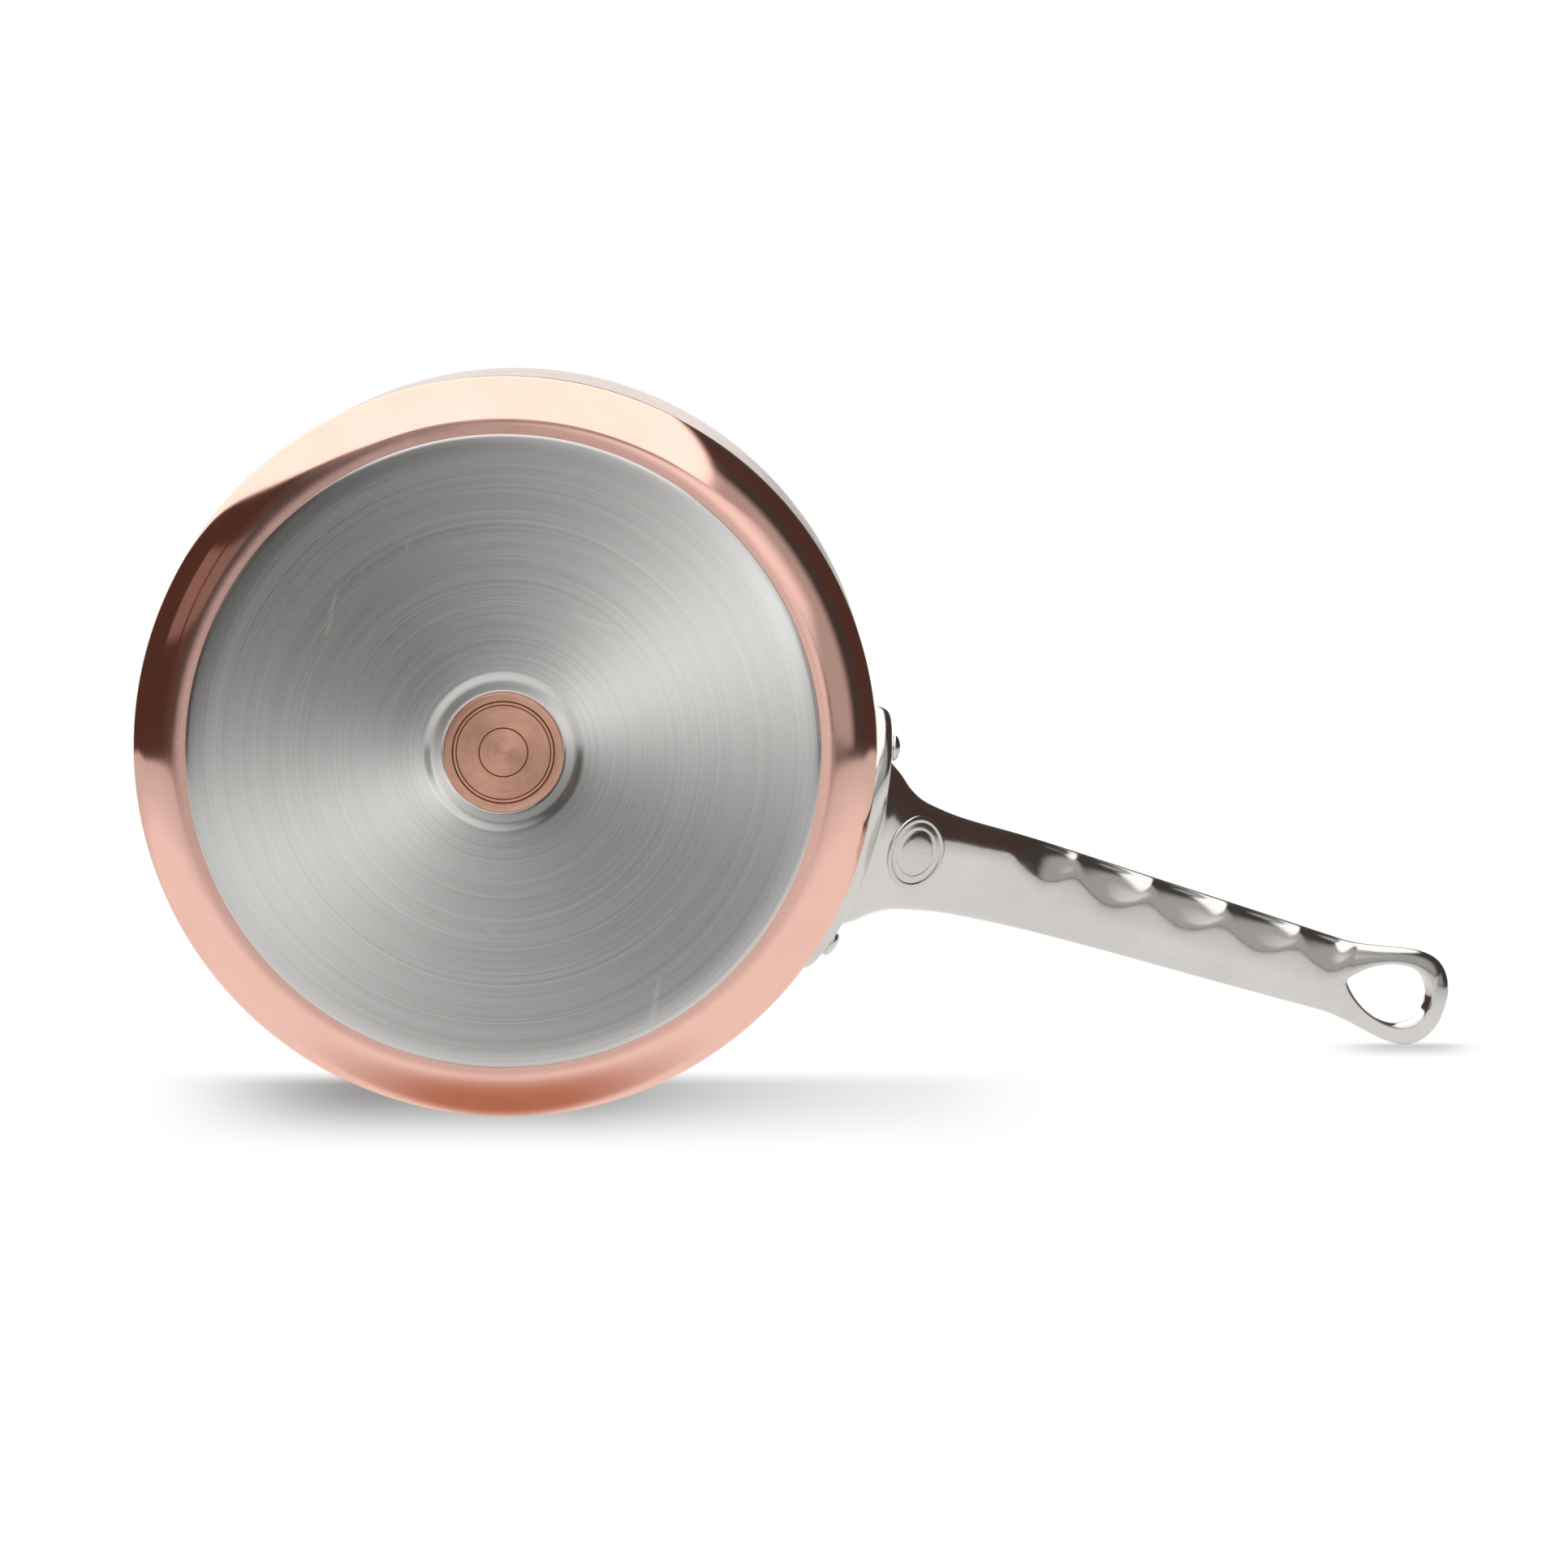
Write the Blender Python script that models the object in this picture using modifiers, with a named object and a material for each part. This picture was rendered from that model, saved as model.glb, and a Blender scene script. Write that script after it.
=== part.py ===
"""Copper saucepan for induction hobs, 20 cm class, with a riveted cast steel handle.

The pan stands upright: +Z up, the origin at the centre of its underside, the
handle along +X. Lengths are metres. It is built as it comes apart on a bench:
a drawn copper body, the stainless lining inside it, the magnetic steel plate
bonded under it with a copper disc in its middle, the cast handle with its
flange, and the two rivets that hold the handle through the wall.
"""

import math

import bmesh
import bpy

# ---------------------------------------------------------------- dimensions
GAP = 0.0003                 # clearance kept between touching pieces

BODY_R = 0.1015              # outside of the wall
BODY_H = 0.1080              # rim above the underside
COPPER_T = 0.0012            # copper layer
LINING_T = 0.0005            # stainless layer
CORNER_R = 0.0140            # outer radius where the wall meets the bottom
BODY_Z0 = 0.0012             # underside of the copper, above the steel plate
RIM_ROUND = 0.0003           # broken edge on the rim

PLATE_R = 0.0862             # magnetic plate
PLATE_T = 0.0009
PLATE_FLAT_R = 0.0800        # outside this the plate curves up a little
PLATE_EDGE_RISE = 0.00028
DISH_R = 0.0222              # shallow dished ring round the middle
DISH_DEPTH = 0.00036
DISC_R = 0.0162              # copper disc in the middle

FLANGE_GAP = 0.0004          # wall to flange
FLANGE_T = 0.0050
FLANGE_W = 0.0395            # half width, along the wall
FLANGE_HH = 0.0200           # half height
FLANGE_Z = 0.0710
FLANGE_POWER = 2.7
FLANGE_LIFT = 0.0085         # its lower middle slopes up into the neck

RIVET_ANGLE = math.radians(15.7)
RIVET_Z = 0.0660
RIVET_HEAD_R = 0.0036
RIVET_HEAD_H = 0.0021
RIVET_INNER_R = 0.0055
RIVET_INNER_H = 0.0014
SHANK_R = 0.0025
HOLE_R = SHANK_R + GAP

# handle stations: reach from the pan's axis, height of the centre line, half
# width, half thickness, squareness of the section
STATIONS = (
    (0.1088, 0.0768, 0.0216, 0.0130, 2.2),
    (0.1120, 0.0794, 0.0188, 0.0119, 2.3),
    (0.1165, 0.0836, 0.0163, 0.0104, 2.4),
    (0.1230, 0.0892, 0.0149, 0.0088, 2.5),
    (0.1300, 0.0955, 0.0140, 0.0075, 2.6),
    (0.1380, 0.1028, 0.0136, 0.0067, 2.7),
    (0.1460, 0.1096, 0.0134, 0.0060, 2.8),
    (0.1560, 0.1162, 0.0131, 0.0056, 2.9),
    (0.1700, 0.1212, 0.0127, 0.0055, 2.9),
    (0.1900, 0.1258, 0.0122, 0.0056, 2.9),
    (0.2200, 0.1322, 0.0116, 0.0054, 2.9),
    (0.2440, 0.1376, 0.0110, 0.0048, 2.8),
    (0.2515, 0.1394, 0.0109, 0.0044, 2.7),
    (0.2575, 0.1408, 0.0116, 0.0040, 2.6),
    (0.2635, 0.1422, 0.0127, 0.0036, 2.5),
    (0.2690, 0.1436, 0.0138, 0.0034, 2.4),
    (0.2735, 0.1447, 0.0142, 0.0033, 2.4),
    (0.2775, 0.1457, 0.0137, 0.0033, 2.4),
    (0.2808, 0.1465, 0.0119, 0.0032, 2.4),
    (0.2832, 0.1471, 0.0091, 0.0029, 2.3),
    (0.2847, 0.1475, 0.0055, 0.0022, 2.2),
)
ROOT_TURN = 0.0150           # reach over which the sections tilt up
HANDLE_TIP = (0.2853, 0.1477)

# finger scallops under the grip
SCALLOP_FIRST = 0.1425
SCALLOP_PITCH = 0.0233
SCALLOP_COUNT = 5
SCALLOP_DEPTH = 0.0011

# teardrop eye for hanging
EYE_START = 0.2535
EYE_ROUND = 0.2708
EYE_R = 0.0090
EYE_END = EYE_ROUND + EYE_R

RING_POINTS = 28             # points round the handle
SPIN_STEPS = 64              # facets round the pan
DISC_STEPS = 48
RIVET_STEPS = 20


# ------------------------------------------------------------------ scene
for old in list(bpy.data.objects):
    bpy.data.objects.remove(old, do_unlink=True)

parts = bpy.data.collections.new("copper_saucepan")
cutters = bpy.data.collections.new("cutters")
bpy.context.scene.collection.children.link(parts)
bpy.context.scene.collection.children.link(cutters)

frame = bpy.data.objects.new("saucepan_frame", None)
frame.empty_display_size = 0.05
parts.objects.link(frame)


def material(name, color, metallic, roughness):
    mat = bpy.data.materials.new(name)
    mat.use_nodes = True
    shader = mat.node_tree.nodes["Principled BSDF"]
    shader.inputs["Base Color"].default_value = (*color, 1.0)
    shader.inputs["Metallic"].default_value = metallic
    shader.inputs["Roughness"].default_value = roughness
    return mat


COPPER = material("polished_copper", (0.86, 0.50, 0.36), 1.0, 0.12)
COPPER_SATIN = material("satin_copper", (0.72, 0.40, 0.29), 1.0, 0.35)
LINING = material("brushed_lining", (0.62, 0.61, 0.59), 1.0, 0.32)
PLATE = material("turned_magnetic_steel", (0.56, 0.55, 0.53), 1.0, 0.30)
CAST = material("polished_cast_steel", (0.66, 0.64, 0.62), 1.0, 0.10)
RIVET = material("rivet_steel", (0.64, 0.63, 0.61), 1.0, 0.16)


def finish_object(obj, mat, collection=parts):
    obj.data.materials.append(mat)
    collection.objects.link(obj)
    if collection is parts:
        obj.parent = frame
    return obj


def turned(name, profile, mat, steps, closed=False, collection=parts):
    """A piece turned about Z. The profile holds (radius, height) pairs and
    runs down its outer side."""
    mesh = bpy.data.meshes.new(name)
    bm = bmesh.new()
    verts = [bm.verts.new((r, 0.0, z)) for r, z in profile]
    for a, b in zip(verts, verts[1:]):
        bm.edges.new((a, b))
    if closed:
        bm.edges.new((verts[-1], verts[0]))
    bm.to_mesh(mesh)
    bm.free()
    obj = bpy.data.objects.new(name, mesh)
    screw = obj.modifiers.new("turn", "SCREW")
    screw.axis = "Z"
    screw.angle = 2.0 * math.pi
    screw.steps = steps
    screw.render_steps = steps
    screw.use_merge_vertices = True
    screw.merge_threshold = 0.00001
    screw.use_smooth_shade = True
    return finish_object(obj, mat, collection)


def arc(cx, cz, radius, start_deg, end_deg, count):
    """Points on a circle in the profile plane, both ends included."""
    out = []
    for i in range(count + 1):
        a = math.radians(start_deg + (end_deg - start_deg) * i / count)
        out.append((cx + radius * math.cos(a), cz + radius * math.sin(a)))
    return out


def cup_profile(outer_r, thickness, z_bottom, z_top, corner, steps):
    """Inside from the axis to the rim, then down the outside to the axis."""
    inner_r = outer_r - thickness
    inner_corner = corner - thickness
    cx = outer_r - corner
    cz = z_bottom + corner
    e = min(RIM_ROUND, thickness * 0.35)
    inside = [(0.0, z_bottom + thickness), (cx * 0.55, z_bottom + thickness)]
    inside += arc(cx, cz, inner_corner, -90, 0, steps)
    mid = 0.5 * (cz + z_top)
    inside += [(inner_r, mid), (inner_r, z_top - e), (inner_r + e, z_top)]
    outside = [(outer_r - e, z_top), (outer_r, z_top - e), (outer_r, mid)]
    outside += arc(cx, cz, corner, 0, -90, steps)
    outside += [(cx * 0.55, z_bottom), (0.0, z_bottom)]
    return inside + outside


# ------------------------------------------------------------ pan and base
copper_body = turned(
    "copper_body",
    cup_profile(BODY_R, COPPER_T, BODY_Z0, BODY_H, CORNER_R, 6),
    COPPER, SPIN_STEPS)

LINING_R = BODY_R - COPPER_T - GAP
LINING_Z0 = BODY_Z0 + COPPER_T + GAP
steel_lining = turned(
    "steel_lining",
    cup_profile(LINING_R, LINING_T, LINING_Z0, BODY_H,
                CORNER_R - COPPER_T - GAP, 5),
    LINING, SPIN_STEPS)

HOLE_PLATE_R = DISC_R + GAP
plate_profile = [
    (HOLE_PLATE_R, DISH_DEPTH),
    (HOLE_PLATE_R, PLATE_T),
    (PLATE_R - 0.0002, PLATE_T),
    (PLATE_R, PLATE_T - 0.0002),
    (PLATE_R, PLATE_EDGE_RISE + 0.0001),
    (PLATE_R - 0.0004, PLATE_EDGE_RISE * 0.75),
    (0.5 * (PLATE_R + PLATE_FLAT_R), PLATE_EDGE_RISE * 0.30),
    (PLATE_FLAT_R, 0.0),
    (DISH_R, 0.0),
    (DISH_R - 0.0012, DISH_DEPTH * 0.35),
    (DISH_R - 0.0030, DISH_DEPTH),
]
induction_plate = turned("induction_plate", plate_profile, PLATE, SPIN_STEPS,
                         closed=True)

disc_profile = [
    (0.0, PLATE_T),
    (DISC_R - 0.0002, PLATE_T),
    (DISC_R, PLATE_T - 0.0002),
    (DISC_R, 0.0002),
    (DISC_R - 0.0003, 0.0),
    (0.0, 0.0),
]
centre_disc = turned("centre_disc", disc_profile, COPPER_SATIN, DISC_STEPS)


# ---------------------------------------------------------------- handle
def catmull(points, u):
    """Smooth value of a table of tuples at u, where u counts the rows."""
    n = len(points)
    i = min(max(int(math.floor(u)), 0), n - 2)
    t = u - i
    p1, p2 = points[i], points[i + 1]
    p0 = points[i - 1] if i > 0 else tuple(2 * a - b for a, b in zip(p1, p2))
    p3 = points[i + 2] if i + 2 < n else tuple(
        2 * b - a for a, b in zip(p1, p2))
    out = []
    for a, b, c, d in zip(p0, p1, p2, p3):
        out.append(0.5 * (2 * b + (c - a) * t + (2 * a - 5 * b + 4 * c - d)
                          * t * t + (3 * b - a - 3 * c + d) * t ** 3))
    return out


def station_at(reach):
    """Height, half width, half thickness, power and slope at a reach."""
    lo, hi = 0.0, len(STATIONS) - 1.0
    for _ in range(40):
        mid = 0.5 * (lo + hi)
        if catmull(STATIONS, mid)[0] < reach:
            lo = mid
        else:
            hi = mid
    u = 0.5 * (lo + hi)
    s = catmull(STATIONS, u)
    a = catmull(STATIONS, max(u - 0.05, 0.0))
    b = catmull(STATIONS, min(u + 0.05, len(STATIONS) - 1.0))
    slope = math.atan2(b[1] - a[1], b[0] - a[0])
    turn = min(max((reach - STATIONS[0][0]) / ROOT_TURN, 0.0), 1.0)
    slope *= turn * turn * (3.0 - 2.0 * turn)
    return s[1], s[2], s[3], s[4], slope


def scallop(reach):
    """Depth of the finger hollow under the grip at a reach."""
    k = (reach - SCALLOP_FIRST) / SCALLOP_PITCH
    if k < 0.0 or k > SCALLOP_COUNT:
        return 0.0
    f = k - math.floor(k)
    return SCALLOP_DEPTH * (1.0 - (2.0 * f - 1.0) ** 2)


def eye_half_width(reach):
    """Half width of the hanging eye at a reach."""
    if reach <= EYE_START or reach >= EYE_END:
        return 0.0
    if reach > EYE_ROUND:
        return math.sqrt(max(EYE_R ** 2 - (reach - EYE_ROUND) ** 2, 0.0))
    t = (reach - EYE_START) / (EYE_ROUND - EYE_START)
    return EYE_R * (1.0 - (1.0 - t) ** 2) ** 0.85


def power(value, exponent):
    return math.copysign(abs(value) ** exponent, value)


def ring_angles():
    """Angles round a section, the first at the top, then towards +Y."""
    return [math.pi / 2 - 2.0 * math.pi * i / RING_POINTS
            for i in range(RING_POINTS)]


def on_wall(radius, across, height):
    a = across / radius
    return (radius * math.cos(a), radius * math.sin(a), height)


def flange_ring(radius, scale, lift=0.0, blend=0.0):
    """A ring of the flange at a radius; lift raises its lower middle, blend
    moves it towards the root of the neck."""
    z0, w, h, p, _ = station_at(STATIONS[0][0])
    out = []
    for a in ring_angles():
        c, s = math.cos(a), math.sin(a)
        q = FLANGE_W * scale * power(c, 2.0 / FLANGE_POWER)
        z = FLANGE_Z + FLANGE_HH * scale * power(s, 2.0 / FLANGE_POWER)
        rq = w * 1.06 * power(c, 2.0 / p)
        rz = z0 + h * 1.06 * power(s, 2.0 / p)
        q = q + (rq - q) * blend
        z = z + (rz - z) * blend
        if s < 0.0:
            z += lift * (1.0 - blend) * math.exp(-(q / 0.017) ** 2)
        out.append(on_wall(radius, q, z))
    return out


def neck_ring(reach, inner=0.0, with_scallop=True):
    """A section of the neck or grip. inner is the eye's half width, where
    the section is two bars; each then has its own middle point."""
    z0, w, h, p, slope = station_at(reach)
    tx, tz = math.cos(slope), math.sin(slope)
    out = []
    for a in ring_angles():
        c, s = math.cos(a), math.sin(a)
        y = inner + (w - inner) * abs(c) ** (2.0 / p)
        y = math.copysign(y, c)
        if abs(c) < 1e-9:
            y = 0.0
        n = h * power(s, 2.0 / p)
        if s < 0.0 and with_scallop:
            n += scallop(reach) * min(1.0, abs(s) * 1.6)
        out.append((reach - n * tz, y, z0 + n * tx))
    return out


def blended_root_ring(k):
    """Fillet rings between the flange's face and the first station."""
    face = flange_ring(BODY_R + FLANGE_GAP + FLANGE_T, 0.90, FLANGE_LIFT, 0.85)
    neck = neck_ring(STATIONS[0][0])
    return [tuple(a + (b - a) * k for a, b in zip(f, n))
            for f, n in zip(face, neck)]


def build_handle():
    mesh = bpy.data.meshes.new("handle")
    bm = bmesh.new()
    back = BODY_R + FLANGE_GAP
    front = back + FLANGE_T
    rings = [
        flange_ring(back, 0.25), flange_ring(back, 0.50),
        flange_ring(back, 0.75), flange_ring(back, 0.975),
        flange_ring(back + 0.0007, 1.0),
        flange_ring(front - 0.0018, 1.0, FLANGE_LIFT * 0.45),
        flange_ring(front - 0.0004, 0.97, FLANGE_LIFT * 0.80),
        flange_ring(front, 0.92, FLANGE_LIFT * 0.95, 0.08),
        flange_ring(front, 0.90, FLANGE_LIFT, 0.45),
        blended_root_ring(0.0), blended_root_ring(0.5),
    ]
    reaches = [STATIONS[0][0]]
    step = 0.0026
    while reaches[-1] + step < 0.1400:
        reaches.append(reaches[-1] + step)
    grip_step = SCALLOP_PITCH / 6.0
    reaches += [SCALLOP_FIRST + grip_step * i
                for i in range(int(SCALLOP_COUNT * 6) - 3)]
    reaches = [r for r in reaches if r < EYE_START - 0.002]
    rings += [neck_ring(r) for r in reaches]
    half = RING_POINTS // 2

    def add(ring):
        return [bm.verts.new(p) for p in ring]

    def bridge(a, b, indices):
        for i in indices:
            j = (i + 1) % RING_POINTS
            bm.faces.new((a[i], a[j], b[j], b[i]))

    everything = range(RING_POINTS)
    centre = bm.verts.new(on_wall(back, 0.0, FLANGE_Z))
    rows = [add(r) for r in rings]
    for i in everything:
        bm.faces.new((centre, rows[0][(i + 1) % RING_POINTS], rows[0][i]))
    for a, b in zip(rows, rows[1:]):
        bridge(a, b, everything)

    # the eye: one column of points down its inner wall at each end, and two
    # rings of bars between, each half with its own top and bottom middle
    def column(ring):
        top, bottom = ring[0].co, ring[half].co
        mid = top.lerp(bottom, 0.5)
        return [ring[0], bm.verts.new(mid), ring[half]]

    eye_count = 9
    start = add(neck_ring(EYE_START))
    bridge(rows[-1], start, everything)
    start_col = column(start)
    right, left = start, start
    right_col, left_col = start_col, start_col
    for k in range(1, eye_count):
        f = k / eye_count
        f = 0.5 - 0.5 * math.cos(math.pi * f)
        reach = EYE_START + (EYE_END - EYE_START) * f
        inner = eye_half_width(reach)
        pts = neck_ring(reach, inner)
        sides = []
        for sign in (1.0, -1.0):
            ring = {}
            for i in everything:
                x, y, z = pts[i]
                if i in (0, half):
                    y = sign * inner
                elif (i < half) != (sign > 0.0):
                    continue
                ring[i] = bm.verts.new((x, y, z))
            mid = ring[0].co.lerp(ring[half].co, 0.5)
            col = [ring[0], bm.verts.new(mid), ring[half]]
            sides.append((ring, col))
        (new_right, new_right_col), (new_left, new_left_col) = sides
        for i in range(half):
            bm.faces.new((right[i], right[i + 1],
                          new_right[i + 1], new_right[i]))
        for i in range(half, RING_POINTS):
            j = (i + 1) % RING_POINTS
            bm.faces.new((left[i], left[j], new_left[j], new_left[i]))
        for m in range(2):
            bm.faces.new((right_col[m], new_right_col[m],
                          new_right_col[m + 1], right_col[m + 1]))
            bm.faces.new((left_col[m + 1], new_left_col[m + 1],
                          new_left_col[m], left_col[m]))
        right, left = new_right, new_left
        right_col, left_col = new_right_col, new_left_col
    end = add(neck_ring(EYE_END))
    end_col = column(end)
    for i in range(half):
        bm.faces.new((right[i], right[i + 1], end[i + 1], end[i]))
    for i in range(half, RING_POINTS):
        j = (i + 1) % RING_POINTS
        bm.faces.new((left[i], left[j], end[j], end[i]))
    for m in range(2):
        bm.faces.new((right_col[m], end_col[m],
                      end_col[m + 1], right_col[m + 1]))
        bm.faces.new((left_col[m + 1], end_col[m + 1],
                      end_col[m], left_col[m]))

    tail = [add(neck_ring(r)) for r in (0.2815, 0.2832, 0.2842, 0.2847)]
    last = end
    for ring in tail:
        bridge(last, ring, everything)
        last = ring
    tip = bm.verts.new((HANDLE_TIP[0], 0.0, HANDLE_TIP[1]))
    for i in everything:
        bm.faces.new((last[i], last[(i + 1) % RING_POINTS], tip))
    bmesh.ops.recalc_face_normals(bm, faces=bm.faces)
    for face in bm.faces:
        face.smooth = True
    bm.to_mesh(mesh)
    bm.free()
    return finish_object(bpy.data.objects.new("handle", mesh), CAST)


handle = build_handle()


# ---------------------------------------------------------------- rivets
def head_arc(radius, height, base, up, steps):
    """A low dome from its rim to its top, or from its top to its rim."""
    out = []
    for i in range(steps + 1):
        a = math.pi / 2 * i / steps
        r = radius * math.cos(a)
        z = base + (height * math.sin(a) if up else -height * math.sin(a))
        out.append((0.0 if i == steps else r, z))
    return out


INNER_FACE = BODY_R - COPPER_T - GAP - LINING_T
OUTER_FACE = BODY_R + FLANGE_GAP + FLANGE_T
OUTER_SEAT = OUTER_FACE + GAP
INNER_SEAT = INNER_FACE - 2.0 * GAP


def rivet(name, angle):
    seat_out = OUTER_SEAT - RIVET_MID
    seat_in = INNER_SEAT - RIVET_MID
    edge = 0.0004
    outer = list(reversed(head_arc(RIVET_HEAD_R, RIVET_HEAD_H - edge,
                                   seat_out + edge, True, 4)))
    inner = head_arc(RIVET_INNER_R, RIVET_INNER_H - edge,
                     seat_in - edge, False, 4)
    profile = outer + [(RIVET_HEAD_R, seat_out), (SHANK_R, seat_out),
                       (SHANK_R, seat_in), (RIVET_INNER_R, seat_in)] + inner
    obj = turned(name, profile, RIVET, RIVET_STEPS)
    obj.location = (RIVET_MID * math.cos(angle),
                    RIVET_MID * math.sin(angle), RIVET_Z)
    obj.rotation_euler = (0.0, math.pi / 2, angle)
    return obj


RIVET_MID = 0.5 * (OUTER_SEAT + INNER_SEAT)
rivet_left = rivet("rivet_left", RIVET_ANGLE)
rivet_right = rivet("rivet_right", -RIVET_ANGLE)


def rivet_hole(name, angle):
    bpy.ops.mesh.primitive_cylinder_add(
        vertices=RIVET_STEPS, radius=HOLE_R, depth=0.030,
        location=(RIVET_MID * math.cos(angle), RIVET_MID * math.sin(angle),
                  RIVET_Z),
        rotation=(0.0, math.pi / 2, angle))
    obj = bpy.context.object
    obj.name = name
    for coll in list(obj.users_collection):
        coll.objects.unlink(obj)
    cutters.objects.link(obj)
    obj.hide_render = True
    obj.display_type = "WIRE"
    return obj


holes = [rivet_hole("cut_rivet_left", RIVET_ANGLE),
         rivet_hole("cut_rivet_right", -RIVET_ANGLE)]
for piece in (copper_body, steel_lining, handle):
    for hole in holes:
        cut = piece.modifiers.new("hole_" + hole.name, "BOOLEAN")
        cut.operation = "DIFFERENCE"
        cut.solver = "EXACT"
        cut.object = hole
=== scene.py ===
import math

import bmesh
import bpy
from mathutils import Matrix, Vector
from mathutils.bvhtree import BVHTree


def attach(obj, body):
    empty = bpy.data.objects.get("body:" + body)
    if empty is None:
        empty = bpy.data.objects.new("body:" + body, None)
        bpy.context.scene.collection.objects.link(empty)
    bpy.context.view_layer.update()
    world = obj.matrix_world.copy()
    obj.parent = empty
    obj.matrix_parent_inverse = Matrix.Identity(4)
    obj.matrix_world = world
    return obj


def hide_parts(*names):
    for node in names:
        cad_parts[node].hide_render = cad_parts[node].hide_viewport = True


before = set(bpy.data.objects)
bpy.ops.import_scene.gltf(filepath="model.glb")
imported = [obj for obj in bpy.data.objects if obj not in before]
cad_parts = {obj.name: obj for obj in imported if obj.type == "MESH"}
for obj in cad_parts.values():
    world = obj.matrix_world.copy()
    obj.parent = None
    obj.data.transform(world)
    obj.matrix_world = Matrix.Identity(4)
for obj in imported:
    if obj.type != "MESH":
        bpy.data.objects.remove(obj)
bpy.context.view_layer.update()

TH = math.radians(17.9)      # how the pan is turned about its own axis


def turned_to(right, down, depth):
    """A vector given as right, down and depth of the main view."""
    return Vector((right * math.cos(TH) + down * math.sin(TH),
                   -right * math.sin(TH) + down * math.cos(TH), depth))


RIGHT = turned_to(1.0, 0.0, 0.0)
DOWN = turned_to(0.0, 1.0, 0.0)

# ------------------------------------------------------------------ sizes
BODY_R = 0.1015
BODY_H = 0.1080
COPPER_T = 0.0012
LINING_T = 0.0005
CORNER_R = 0.0140
BODY_Z0 = 0.0012
GAP = 0.0003
PLATE_R = 0.0862
PLATE_T = 0.0009
PLATE_FLAT_R = 0.0800
PLATE_EDGE_RISE = 0.00028
DISH_R = 0.0222
DISH_DEPTH = 0.00036
DISC_R = 0.0162

FLANGE_GAP = 0.0004
FLANGE_T = 0.0050
FLANGE_W = 0.0395
FLANGE_HH = 0.0200
FLANGE_Z = 0.0710
FLANGE_POWER = 2.7
FLANGE_LIFT = 0.0085
RIVET_ANGLE = math.radians(15.7)
RIVET_Z = 0.0660
RIVET_HEAD_R = 0.0036
RIVET_HEAD_H = 0.0021
RIVET_INNER_R = 0.0055
RIVET_INNER_H = 0.0014
SHANK_R = 0.0025

STATIONS = (
    (0.1088, 0.0768, 0.0216, 0.0130, 2.2),
    (0.1120, 0.0794, 0.0188, 0.0119, 2.3),
    (0.1165, 0.0836, 0.0163, 0.0104, 2.4),
    (0.1230, 0.0892, 0.0149, 0.0088, 2.5),
    (0.1300, 0.0955, 0.0140, 0.0075, 2.6),
    (0.1380, 0.1028, 0.0136, 0.0067, 2.7),
    (0.1460, 0.1096, 0.0134, 0.0060, 2.8),
    (0.1560, 0.1162, 0.0131, 0.0056, 2.9),
    (0.1700, 0.1212, 0.0127, 0.0055, 2.9),
    (0.1900, 0.1258, 0.0122, 0.0056, 2.9),
    (0.2200, 0.1322, 0.0116, 0.0054, 2.9),
    (0.2440, 0.1376, 0.0110, 0.0048, 2.8),
    (0.2515, 0.1394, 0.0109, 0.0044, 2.7),
    (0.2575, 0.1408, 0.0116, 0.0040, 2.6),
    (0.2635, 0.1422, 0.0127, 0.0036, 2.5),
    (0.2690, 0.1436, 0.0138, 0.0034, 2.4),
    (0.2735, 0.1447, 0.0142, 0.0033, 2.4),
    (0.2775, 0.1457, 0.0137, 0.0033, 2.4),
    (0.2808, 0.1465, 0.0119, 0.0032, 2.4),
    (0.2832, 0.1471, 0.0091, 0.0029, 2.3),
    (0.2847, 0.1475, 0.0055, 0.0022, 2.2),
)
ROOT_TURN = 0.0150
HANDLE_TIP = (0.2853, 0.1477)
SCALLOP_FIRST = 0.1425
SCALLOP_PITCH = 0.0233
SCALLOP_COUNT = 5
SCALLOP_DEPTH = 0.0012
EYE_START = 0.2535
EYE_ROUND = 0.2708
EYE_R = 0.0090
EYE_END = EYE_ROUND + EYE_R
RING_POINTS = 64
SPIN = 256

scene = bpy.context.scene
looks = bpy.data.collections.new("looks")
scene.collection.children.link(looks)


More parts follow.
